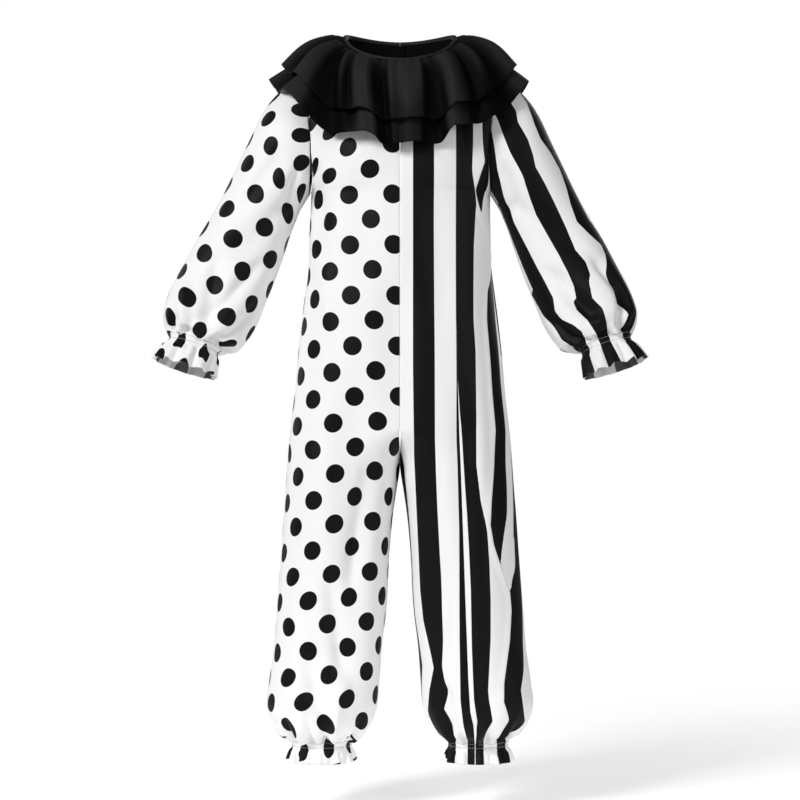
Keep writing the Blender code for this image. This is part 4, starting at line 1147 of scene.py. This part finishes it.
# Creases that run up from the wrist elastic, by angle and in sleeve rows.
WRIST_CREASES = tables(
    "place drift length lift",
    right=(
        (20, -14, 1.6, -0.005), (40, 10, 2.4, -0.006), (56, -8, 1.4, 0.004), (70, 12, 2.8, -0.006),
        (88, -6, 1.6, -0.005), (102, 14, 2.2, 0.0045), (116, 8, 2.6, -0.006), (136, -10, 1.8, -0.005),
        (158, 10, 2, -0.005), (182, -8, 1.6, -0.0045), (206, 12, 2.4, -0.0055), (232, -10, 1.8, 0.004),
        (254, 8, 2.6, -0.0055), (280, -12, 1.6, -0.005), (304, 10, 2.2, -0.0055),
        (334, -8, 1.8, -0.0045),
    ),
    left=(
        (14, 12, 2, -0.0055), (36, -8, 1.6, -0.005), (52, 14, 2.8, -0.0065), (72, -10, 1.8, 0.0045),
        (86, 8, 2.4, -0.006), (104, -12, 1.6, -0.005), (122, 10, 2.6, -0.006), (142, 6, 1.4, 0.004),
        (160, -10, 2.2, -0.005), (188, 10, 1.8, -0.005), (212, -12, 2.6, -0.0055),
        (238, 8, 1.6, -0.0045), (262, -8, 2.4, -0.0055), (286, 12, 1.8, 0.004),
        (310, -10, 2.4, -0.0055), (338, 8, 1.6, -0.005),
    ),
)
WRIST_CREASE_WIDTH = 7.0
WRIST_RISE = 0.25            # sleeve rows over which a crease begins at the elastic
WRIST_PLEATS = 19            # pleats round a wrist's frill,
WRIST_PLEAT_DRIFT = (1.5, 4)           # and how much they crowd together, and how often

# Dots on the right sleeve.
DOTS_FORWARD = 0.0480        # where a dot lies, forward from the outer edge,
DOTS_DOWN = 0.0200           # and down from the row that lies square to the grain
DOTS_WIDTH = 0.95            # share of the length round the arm that the print counts
DOT_DRIFT = 0.019            # how far the columns of dots drift forward from the outer edge,
DRIFT_ROWS = (7.5, 12.0)     # and the sleeve rows over which they do

# Edges of the stripes on the left sleeve: their count in stripes from the outer edge
# inwards, about how far forward each lies above the elbow, and their marks.
ELBOW_DOWN = 290             # marks below this lie on the forearm,
ELBOW_FORWARD = 0.03         # which is so much further forward


def sleeve_edge(forward, *marks):
    """Depths, and distances from the centre, of an edge marked on the left sleeve."""
    return np.array([in_picture(down, right, forward + ELBOW_FORWARD * (down > ELBOW_DOWN))
                     for down, right in marks]).T


SLEEVE_LINES = (
    (1, sleeve_edge(
        0.035,
        (61.5, 502.5), (89.5, 518.5), (102.5, 527), (125, 534), (140, 540), (152.5, 550), (170, 560),
        (187.5, 566), (205, 570), (222.5, 576), (235, 589), (245, 601), (255, 605), (272.5, 607),
        (282.5, 611), (292.5, 621), (305, 627.5), (315, 629), (327.5, 625.5), (340, 621),
    )),
    (2, sleeve_edge(
        0.05,
        (59.5, 490), (101, 510), (111, 516), (122.5, 517.5), (140, 527.5), (155, 532.5), (167.5, 535),
        (185, 545), (202.5, 554), (227.5, 566), (242.5, 572.5), (250, 575), (262.5, 585), (275, 589),
        (282.5, 587.5), (297.5, 592.5), (307.5, 602.5), (317.5, 605), (337.5, 610),
    )),
    (3, sleeve_edge(
        0.058,
        (59, 470.5), (120.5, 498), (137.5, 504), (152.5, 510), (175, 522.5), (195, 529), (215, 536),
        (235, 547.5), (252.5, 557.5), (272.5, 567.5), (285, 572.5), (295, 575.5), (300, 572),
        (309, 576), (320, 587.5), (335, 597.5), (342.5, 600),
    )),
    (4, sleeve_edge(
        0.055,
        (114, 488.5), (147, 494.5), (170, 497.5), (195, 504), (222, 515), (252, 530), (277, 542),
        (297, 554), (311, 556), (319, 562), (325, 574), (332, 582), (344, 587),
    )),
    (5, sleeve_edge(
        0.045,
        (185, 489), (200, 498.5), (230, 508), (260, 518.5), (290, 531), (315, 545), (340, 562.5),
        (350, 575),
    )),
)


def sleeve_folds(side, angles, step):
    """How far a sleeve's folds move it in along one ring."""
    moved = np.zeros_like(angles)
    for fold in SLEEVE_RELIEF[side]:
        if fold.first < step < fold.last:
            run = (step - fold.first) / (fold.last - fold.first)
            middle = fold.start + (fold.end - fold.start) * run
            away = (angles - middle + 180) % 360 - 180
            ends = ease(run / FOLD_END) * ease((1 - run) / FOLD_END)
            moved += fold.depth * ends * np.exp(-(away / fold.width) ** 2)
    return moved


def wrist_creases(side, angles, step):
    """How far a sleeve stands out in its own creases above the elastic and below it."""
    moved = np.zeros_like(angles)
    above = WRIST_ELASTIC - step
    if above > 0:
        for gather in WRIST_CREASES[side]:
            run = min(above / gather.length, 1)
            away = (angles - gather.place - gather.drift * run + 180) % 360 - 180
            width = WRIST_CREASE_WIDTH * (1 + run)
            lift = GATHER_STRENGTH * gather.lift * ease(above / WRIST_RISE)
            moved += lift * (1 - run) ** GATHER_TAPER * np.exp(-(away / width) ** 2)
    below = (step - WRIST_ELASTIC - 1) * ELASTIC_STEP
    if below > 0:
        turn = np.radians(angles)
        drift = WRIST_PLEAT_DRIFT[0] * np.sin(WRIST_PLEAT_DRIFT[1] * turn)
        fade = math.exp(-below / FRILL_CREASE_FADE)
        moved += FRILL_CREASE * np.cos(WRIST_PLEATS * turn + drift) * ease(below / GATHER_RISE) * fade
    away = (step - WRIST_ELASTIC - 0.5) * ELASTIC_STEP / PINCH_REACH
    return moved - ELASTIC_PINCH * math.exp(-away ** 2)


def wrist_gathers(angles, step):
    """How far a sleeve stands out in the gathers round the wrist elastic and in the frill."""
    wave = np.cos(np.radians(WRIST_WAVES * angles))
    if step > WRIST_ELASTIC + 1:
        grow = (step - WRIST_ELASTIC - 1) / (len(SLEEVE) - 2 - WRIST_ELASTIC)
        return wave * (ELASTIC_WAVE + (FRILL_WAVE - ELASTIC_WAVE) * grow)
    if step >= WRIST_ELASTIC:
        return wave * ELASTIC_WAVE
    return wave * GATHER_WAVE * math.exp(-(WRIST_ELASTIC - step) / WRIST_FADE_ROWS)


def sleeve_stripes(row, lengths, stops):
    """The print's place across the striped sleeve, along one ring."""
    front = len(row) // 2
    knots = []
    for count, (depths, sides) in SLEEVE_LINES:
        gap = row[:front + 1, 0] - np.interp(-row[:front + 1, 2], depths, sides)
        past = np.nonzero((gap[1:] >= 0) & (gap[:-1] < 0))[0]
        if len(past):
            first = past[-1]
            part = gap[first] / (gap[first] - gap[first + 1])
            place = lengths[first] + part * (lengths[first + 1] - lengths[first])
            knots.append((place, 1 - count))
    return count_print(stops, sorted(knots) or [(lengths[front], 1)]) * STRIPE


def build_sleeve(side):
    """One sleeve, worked out on the wearer's left and turned over for the right."""
    turns = np.linspace(180, -180, SLEEVE_SAMPLES)
    steps = np.concatenate((SLEEVE_FLAT_FROM * np.array(ARMHOLE_CROWD),
                            np.linspace(SLEEVE_FLAT_FROM, len(SLEEVE) - 1, SLEEVE_STEPS)))
    form = np.array([sleeve_point(float(step), turns) for step in steps])
    normals = surface_normals(form)
    full = along(form[int(np.argmin(np.abs(steps - FULL_SLEEVE_ROW)))])[-1]
    grid, across, outs, behind = [], [], [], []
    for step, row, facing in zip(steps, form, normals):
        lengths = along(row)
        middle = plain_strip(EDGE_CLEAR, lengths[-1] - EDGE_CLEAR, SLEEVE_COLUMNS)
        stops, lifts = seamed_row(lengths[-1], middle)
        angles = np.interp(stops, lengths, turns)
        moved = sleeve_folds(side, angles, step) + wrist_gathers(angles, step) + lifts
        moved += wrist_creases(side, angles, step)
        out = unit(read_row(lengths, facing, stops))
        grid.append(read_row(lengths, row, stops) + out * moved[:, None])
        outs.append(out)
        forward = lengths[SLEEVE_SAMPLES // 2] - stops
        behind.append(np.where(forward < 0, 1, ease((out[:, 0] - SIDE_FROM) / SIDE_OVER)))
        if side == "right":
            if step > FULL_SLEEVE_ROW:
                forward = forward * max(1.0, full / lengths[-1])
            drift = DOT_DRIFT * ease((step - DRIFT_ROWS[0]) / (DRIFT_ROWS[1] - DRIFT_ROWS[0]))
            across.append((forward - DOTS_FORWARD - drift) * DOTS_WIDTH)
        elif step > WRIST_ELASTIC:
            across.append(across[-1])
        else:
            across.append(sleeve_stripes(row, lengths, stops))
    grid, across, outs, behind = (np.array(rows) for rows in (grid, across, outs, behind))
    if side == "left":
        across = evened(across, behind)
    pieces = np.linalg.norm(np.diff(grid, axis=0), axis=-1)
    down = np.concatenate((np.zeros((1, grid.shape[1])), np.cumsum(pieces, axis=0)))
    turn_in = np.interp(down, EDGE_PLACES[1:], EDGE_DEPTHS[1:])
    grid = grid - outs * turn_in[..., None]
    grid = np.concatenate((grid[:1] - outs[:1] * (EDGE_DEPTHS[0] - EDGE_DEPTHS[1]), grid))
    square = int(np.argmin(np.abs(steps - SQUARE_ROW)))
    down = down - down[square] - DOTS_DOWN
    places = np.stack((across, down), axis=-1)
    places = np.concatenate((places[:1], places))
    flip = np.array((-1 if side == "right" else 1, 1, 1))
    lines = [float(np.interp(line, steps, np.arange(len(steps)))) + 1 for line in WRIST_LINES]
    sew_in("sleeve_" + side, grid, places, flip, lines, flat=(0.38, 0.47), area=0.135,
           rests_on=["front_" + side + "_cloth"])


for side in ("right", "left"):
    build_sleeve(side)


# ================================================================ collar
# Two ruffles of light matt black cloth, a long one under a shorter one.  Each is a strip
# gathered into the neck, where the small gathers run together into large flutes, and both
# are open at the centre back, edge to edge.

NECK_LEANS = ((0, 45, 90, 135, 180), (12, 34, 58, 42, 24))       # angles, and degrees there
LOWER_HEM = table(
    "angle side forward height bulge",
    (0, 0, 0.1, -0.131, 0.008),
    (30, 0.071, 0.0965, -0.114, 0.008),
    (60, 0.134, 0.0765, -0.079, 0.004),
    (90, 0.167, 0, -0.047, 0.001),
    (120, 0.138, -0.0735, -0.063, 0.003),
    (150, 0.074, -0.0985, -0.088, 0.006),
    (180, 0, -0.102, -0.1, 0.006),
)
UPPER_HEM = table(
    "angle side forward height bulge",
    (0, 0, 0.105, -0.101, 0.011),
    (30, 0.07, 0.098, -0.085, 0.012),
    (60, 0.121, 0.071, -0.054, 0.01),
    (90, 0.15, 0, -0.026, 0.01),
    (120, 0.122, -0.067, -0.036, 0.011),
    (150, 0.07, -0.093, -0.06, 0.014),
    (180, 0, -0.101, -0.07, 0.012),
)
LOWER_NECK_OFFSET = 0.0016
UPPER_NECK_OFFSET = 0.0046
UPPER_LENGTH = 0.80

# Crests and valleys of the flutes, in turn: where each starts at the neck, where it runs
# to at the longer ruffle's hem, and its height.
BENDS = (
    (-204, -204, -0.9), (-190, -190, 0.7), (-176, -176, -0.7), (-163, -163, 0.8), (-149, -150, -0.9),
    (-135, -137, 0.9), (-121, -123, -0.9), (-109, -110, 0.7), (-99, -98, -0.5), (-89, -87, 0.6),
    (-77, -75, -0.5), (-66, -61, 1.1), (-61, -51, -0.8), (-56, -39, -1), (-48, -29, 0.7),
    (-43, -23, -0.1), (-37, -18, 0.7), (-27, -13.5, 0.6), (-21, -10, -1), (-14, -6, -1), (-8, -3, 0.6),
    (-2, 0, 0.2), (6, 5, 0.7), (15, 10.5, 0.6), (21, 15, -0.8), (28, 21, -0.8), (37, 28, 0.9),
    (46, 36, 0.2), (55, 43, -0.7), (63, 51, 0.6), (75, 63, -0.5), (87, 76, 0.7), (99, 90, -0.6),
    (110, 103, 0.9), (123, 118, -0.9), (136, 133, 0.9), (149, 148, -0.9), (163, 163, 0.8),
    (176, 176, -0.7), (190, 190, 0.7), (204, 204, -0.9),
)
BEND_NECKS, BEND_HEMS, BEND_HEIGHTS = np.array(BENDS).T
FLUTE_WAVE = 0.0160
FLUTE_START = 0.10           # share of the longer ruffle over which a flute begins
FLUTE_GROWTH = 0.5           # less than 1 lets them swell up close to the neck
FLUTE_KEPT = 0.4             # share of a flute that is left at the hems, where it opens out
FLUTE_FADE = (0.35, 0.85)    # share of the longer ruffle over which it opens out

# Broad waves that the hems hang in: angle, and height of the wave there.
HEM_WAVES = (
    (-210, 0.6), (-190, -0.6), (-170, 0.6), (-150, -0.5), (-130, 0.6), (-112, -0.6), (-92, 0.5),
    (-80, 0.1), (-68, 0.6), (-53, 0), (-39, -0.9), (-31, -0.6), (-20, 0.5), (-14, 0.4), (-8, -0.3),
    (0, -0.1), (10, -0.2), (17, -0.7), (22, -0.8), (28, 0.3), (36, 0), (50, -0.7), (64, -0.4),
    (80, 0.5), (92, 0.6), (110, -0.6), (130, 0.6), (150, -0.6), (170, 0.6), (190, -0.6), (210, 0.6),
)
HEM_WAVE_OUT = 0.0070
HEM_WAVE_RISE = 0.0080

NECK_PUFF = 0.0040           # how far the whole ruffle stands out just below the neck
NECK_PUFF_REACH = 0.10       # share of the longer ruffle over which it rises
PUFF_SIDES = 0.1             # share of the puff that is left at the sides of the neck
NECK_GATHERS = 44            # small gathers round the neck
NECK_GATHER_WAVE = 0.0030
NECK_GATHER_START = 0.08
NECK_GATHER_REACH = 0.34
LONG_GATHER_WAVE = 0.0020    # every second one runs on towards the hem
BULGE_OUT = 0.5
BULGE_UP = 0.9
BULGE_EARLY = 0.8            # less than 1 brings the bulge nearer to the neck
NECK_BLEND = 0.25
BACK_OPENING = 0.8
RUFFLE_COLUMNS = 480
RUFFLE_ROWS = 36
# The ruffle's colour has painted light: lighter on the crests as painted highlight, darker in the
# valleys as painted shade.
RUFFLE_PAINTED_LIT_CREST = (0.0190, 0.0190, 0.0200, 1.0)
RUFFLE_PAINTED_SHADED_VALLEY = (0.0012, 0.0012, 0.0013, 1.0)
PAINTED_LIGHT_RANGE = 0.0060         # half the height between a valley's painted shade and a crest's painted highlight
GATHER_PAINTED_LIGHT = 1.5           # how much more the small gathers take the painted highlight and painted shade

NECK_LEAN = smooth_curve(*NECK_LEANS)


def neck_directions(angles):
    """Round the neck ring: the way the cloth runs down, and the way it faces."""
    turn = np.radians(angles)
    level = unit(np.stack((np.sin(turn) * NECK_FRONT_DEPTH, -np.cos(turn) * NECK_HALF_WIDTH,
                           np.zeros_like(turn)), axis=-1))
    lean = np.radians(NECK_LEAN(np.abs(angles)))[..., None]
    up = np.array((0.0, 0.0, 1.0))
    return (level * np.sin(lean) - up * np.cos(lean), level * np.cos(lean) + up * np.sin(lean))


def bend_height(angles):
    """Height of the large flutes round the neck."""
    left = np.clip(np.searchsorted(BEND_NECKS, angles, side="right") - 1, 0, len(BENDS) - 2)
    part = ease((angles - BEND_NECKS[left]) / (BEND_NECKS[left + 1] - BEND_NECKS[left]))
    return BEND_HEIGHTS[left] + (BEND_HEIGHTS[left + 1] - BEND_HEIGHTS[left]) * part


def hem_angle(angles):
    """Where lines of cloth that start at these angles of the neck reach the longer hem."""
    return smooth_curve(BEND_NECKS, BEND_HEMS)(angles)


def ruffle_columns(count):
    """Neck angles of the columns, spread so that they are even halfway to the hem."""
    ends = 180 - BACK_OPENING
    trial = np.linspace(-ends, ends, 10 * count)
    halfway = (trial + hem_angle(trial)) / 2
    return np.interp(np.linspace(halfway[0], halfway[-1], count), halfway, trial)


def hem_wave(angles, reach):
    """Height of the broad waves, which grow from the neck to the hem."""
    return smooth_curve(*zip(*HEM_WAVES))(angles) * ease(reach)


def flute_height(angles, reach):
    """Height of the flutes, which swell up below the neck and open out above the hem."""
    fade_start, fade_end = FLUTE_FADE
    kept = 1 - (1 - FLUTE_KEPT) * ease((reach - fade_start) / (fade_end - fade_start))
    return bend_height(angles) * ease(reach / FLUTE_START) * reach ** FLUTE_GROWTH * kept


def neck_gathers(angles, reach):
    """The puff below the neck and its gathers, of uneven height, which run out into the flutes."""
    turn = np.radians(angles)
    puff = NECK_PUFF * ease(reach / NECK_PUFF_REACH) * (1 - reach) ** 2
    puff = puff * (1 - (1 - PUFF_SIDES) * np.abs(np.sin(turn)))
    uneven = 0.8 + 0.3 * np.sin(3 * turn + 1) + 0.3 * np.sin(11 * turn)
    short = 2 * np.abs(np.cos(NECK_GATHERS / 2 * turn + 0.6 * np.sin(5 * turn))) ** 0.7 - 1.2
    uneven_reach = NECK_GATHER_REACH * (0.75 + 0.25 * np.sin(7 * turn + 2))
    short = short * ease(reach / NECK_GATHER_START) * np.maximum(1 - reach / uneven_reach, 0) ** 1.5
    long = np.cos(NECK_GATHERS / 4 * turn + 0.8 * np.sin(4 * turn))
    long = long * reach ** 0.5 * (1 - reach) ** 1.5
    return puff + uneven * (NECK_GATHER_WAVE * short + LONG_GATHER_WAVE * long)


def hem_curve(hem, name):
    """A smooth function of the angle for one column of a hem's table, the same on both sides."""
    mirror = -1 if name == "side" else 1
    rows = [(-row.angle, mirror * getattr(row, name)) for row in hem[:0:-1]]
    rows += [(row.angle, getattr(row, name)) for row in hem]
    return smooth_curve(*zip(*rows))


def ruffle_form(hem_table, offset, angles, drop):
    """The middle of a ruffle's cloth before its waves; drop 1 is the hem."""
    curves = {name: hem_curve(hem_table, name)(angles)
              for name in ("side", "forward", "height", "bulge")}
    neck = neck_point(angles)
    start = neck + neck_directions(angles)[1] * offset
    hem = np.stack((curves["side"], -curves["forward"], curves["height"]), axis=-1)
    level = unit(neck * np.array((1, 1, 0)))
    lift = unit(level * BULGE_OUT + np.array((0, 0, BULGE_UP)))
    drop = drop[..., None]
    bulge = curves["bulge"][..., None] * np.sin(math.pi * drop ** BULGE_EARLY)
    return start * (1 - drop) + hem * drop + lift * bulge


def black_cloth(name, colour, rough, pitch):
    """Black cloth with fine threads and a soft sheen, weaker the rougher it is."""
    cloth = Finish(name)
    across, down = print_place(cloth)
    cloth.shade(Base_Color=colour, Roughness=rough, Specular_IOR_Level=0.8 * (1 - rough) ** 1.5,
                Normal=weave(cloth, across, down, 0.35, pitch))
    return cloth.material


def ruffle_cloth():
    """Black cloth with painted highlight on the crests and painted shade in the valleys, in its colour.
    """
    cloth = Finish("ruffle_cloth_painted_light")
    across, down = print_place(cloth)
    painted_lit_share = print_place(cloth, "fold")[0]
    # painted shade in the valleys, painted highlight on the crests
    colour = cloth.blend(painted_lit_share * painted_lit_share, RUFFLE_PAINTED_SHADED_VALLEY, RUFFLE_PAINTED_LIT_CREST)
    cloth.shade(Base_Color=colour, Roughness=0.6, Specular_IOR_Level=0.04,
                Normal=weave(cloth, across, down, 0.35, 0.0008))
    return cloth.material


RUFFLE_CLOTH = [ruffle_cloth()]


def build_ruffle(node, hem_table, offset, length, flat, area):
    """One tier of the collar from its hem's table; length 1 is the longer tier's."""
    angles = ruffle_columns(RUFFLE_COLUMNS + 1)
    drop = np.linspace(0, 1, RUFFLE_ROWS + 1)[:, None]
    reach = drop * length
    moved = angles * (1 - reach) + hem_angle(angles) * reach
    form = ruffle_form(hem_table, offset, moved, np.broadcast_to(drop, moved.shape))
    blend = ease(drop / NECK_BLEND)[..., None]
    out = unit(neck_directions(moved)[1] * (1 - blend) + surface_normals(form) * blend)
    broad = hem_wave(moved, reach)
    gathers = neck_gathers(angles, reach)
    wave = FLUTE_WAVE * flute_height(angles, reach) + HEM_WAVE_OUT * broad + gathers
    middle = form + out * wave[..., None]
    middle[..., 2] += HEM_WAVE_RISE * broad
    facing = surface_normals(middle) * SHELL / 2
    hem = along(middle[-1])
    fall = np.cumsum(np.linalg.norm(np.diff(middle, axis=0, prepend=middle[:1]), axis=-1), axis=0)
    places = np.stack((np.broadcast_to(hem, fall.shape), fall), axis=-1)
    # How lit each place of the ruffle is painted: painted highlight on the crests, painted shade in the
    # valleys.
    painted_light_height = wave + HEM_WAVE_OUT * broad + GATHER_PAINTED_LIGHT * gathers
    painted_lit_shares = np.clip(painted_light_height / (2 * PAINTED_LIGHT_RANGE) + 0.5, 0, 1)
    cloth = add_cloth(node + "_cloth", middle + facing, middle - facing, places, RUFFLE_CLOTH,
                      painted_lit_shares)
    fit(cloth, node, "ruffle_cloth", flat=flat, area=area, held="gathered",
        rests_on=["neck_binding_roll"])


build_ruffle("collar_lower", LOWER_HEM, LOWER_NECK_OFFSET, 1.0, (1.20, 0.11), 0.095)
build_ruffle("collar_upper", UPPER_HEM, UPPER_NECK_OFFSET, UPPER_LENGTH, (1.10, 0.09), 0.075)


# ================================================================ neck binding
# A narrow tape folded over the raw edges of the panels, the ruffles and the facing, and
# rolled a little outwards, open at the centre back.

BINDING_HALF_HEIGHT = 0.0024
BINDING_HALF_WIDTH = 0.0038
BINDING_OUT = 0.0016
BINDING_SQUARE = 0.8
BINDING_WRAP = 300           # how far round its core the tape goes, in degrees
BINDING_TURNS = 26
RING_COLUMNS = 320
BAND_OPENING = 0.05
SEAM_GAP = 0.0003
BINDING_BLACK = (0.013, 0.013, 0.014, 1.0)


def build_binding():
    """The folded tape, from its outer edge over the top to its inner edge."""
    angles = np.linspace(-180 + BAND_OPENING, 180 - BAND_OPENING, RING_COLUMNS + 1)
    down_cloth, facing_out = neck_directions(angles)
    middle = (neck_point(angles) + facing_out * BINDING_OUT
              - down_cloth * (SEAM_GAP + BINDING_HALF_HEIGHT))
    rows = []
    for turn in np.radians(np.linspace(90 + BINDING_WRAP / 2, 90 - BINDING_WRAP / 2, BINDING_TURNS)):
        rows.append(middle + facing_out * BINDING_HALF_WIDTH * rounded(np.cos(turn), BINDING_SQUARE)
                    - down_cloth * BINDING_HALF_HEIGHT * rounded(np.sin(turn), BINDING_SQUARE))
    grid = np.array(rows)
    inside = grid - surface_normals(grid) * SHELL
    round_neck = np.broadcast_to(along(middle), grid.shape[:2])
    fold = np.cumsum(np.linalg.norm(np.diff(grid, axis=0, prepend=grid[:1]), axis=-1), axis=0)
    tape = add_cloth("neck_binding_roll", grid, inside, np.stack((round_neck, fold), axis=-1),
                     [black_cloth("binding_finish", BINDING_BLACK, 0.6, 0.0006)])
    fit(tape, "neck_binding", "binding_cloth", flat=(0.42, 0.013), held="folded",
        rests_on=["collar_upper_cloth"])


build_binding()


# ================================================================ neck facing
# A short black band sewn to the neck edge and hanging inside it. Its cloth is black, and its black is
# darker than the binding's, which is painted shade inside the neck.

FACING_DEPTH = 0.024
FACING_GAP = 0.0012
CLOTH_WALL = 0.0015
FACING_ROWS = 12
FACING_TUCK = 0.0012         # its top edge is tucked into the binding by this much
FACING_UNDERLAP = 5.0        # angle over which one end runs on under the other
FACING_UNDER = 0.0012        # how much deeper it lies there
# darker than the binding's black: painted shade inside the neck
FACING_SHADED_BLACK = (0.0025, 0.0025, 0.0027, 1.0)


def build_facing():
    """The band inside the neck; one end runs on under the other at the centre back."""
    angles = np.linspace(-180 - FACING_UNDERLAP, 180 - BAND_OPENING, RING_COLUMNS + 1)
    facing_out = neck_directions(angles)[1]
    under = FACING_UNDER * ease((FACING_UNDERLAP - 180 - angles) / FACING_UNDERLAP)
    inset = CLOTH_WALL + FACING_GAP + under
    falls = np.linspace(-FACING_TUCK, FACING_DEPTH, FACING_ROWS + 1)
    grid = np.stack([neck_point(angles) - np.array((0, 0, fall))
                     - facing_out * (inset - FACING_TUCK * (fall < 0))[:, None] for fall in falls])
    outer = grid[-1]
    inside = grid - surface_normals(grid) * SHELL
    places = np.stack((np.broadcast_to(along(outer), grid.shape[:2]),
                       np.broadcast_to(falls[:, None], grid.shape[:2])), axis=-1)
    band = add_cloth("neck_facing_band", grid, inside, places,
                     [black_cloth("facing_painted_shade", FACING_SHADED_BLACK, 0.85, 0.0008)])
    fit(band, "neck_facing", "ruffle_cloth", flat=(0.42, 0.025), held="hung",
        rests_on=["neck_binding_roll"])


build_facing()
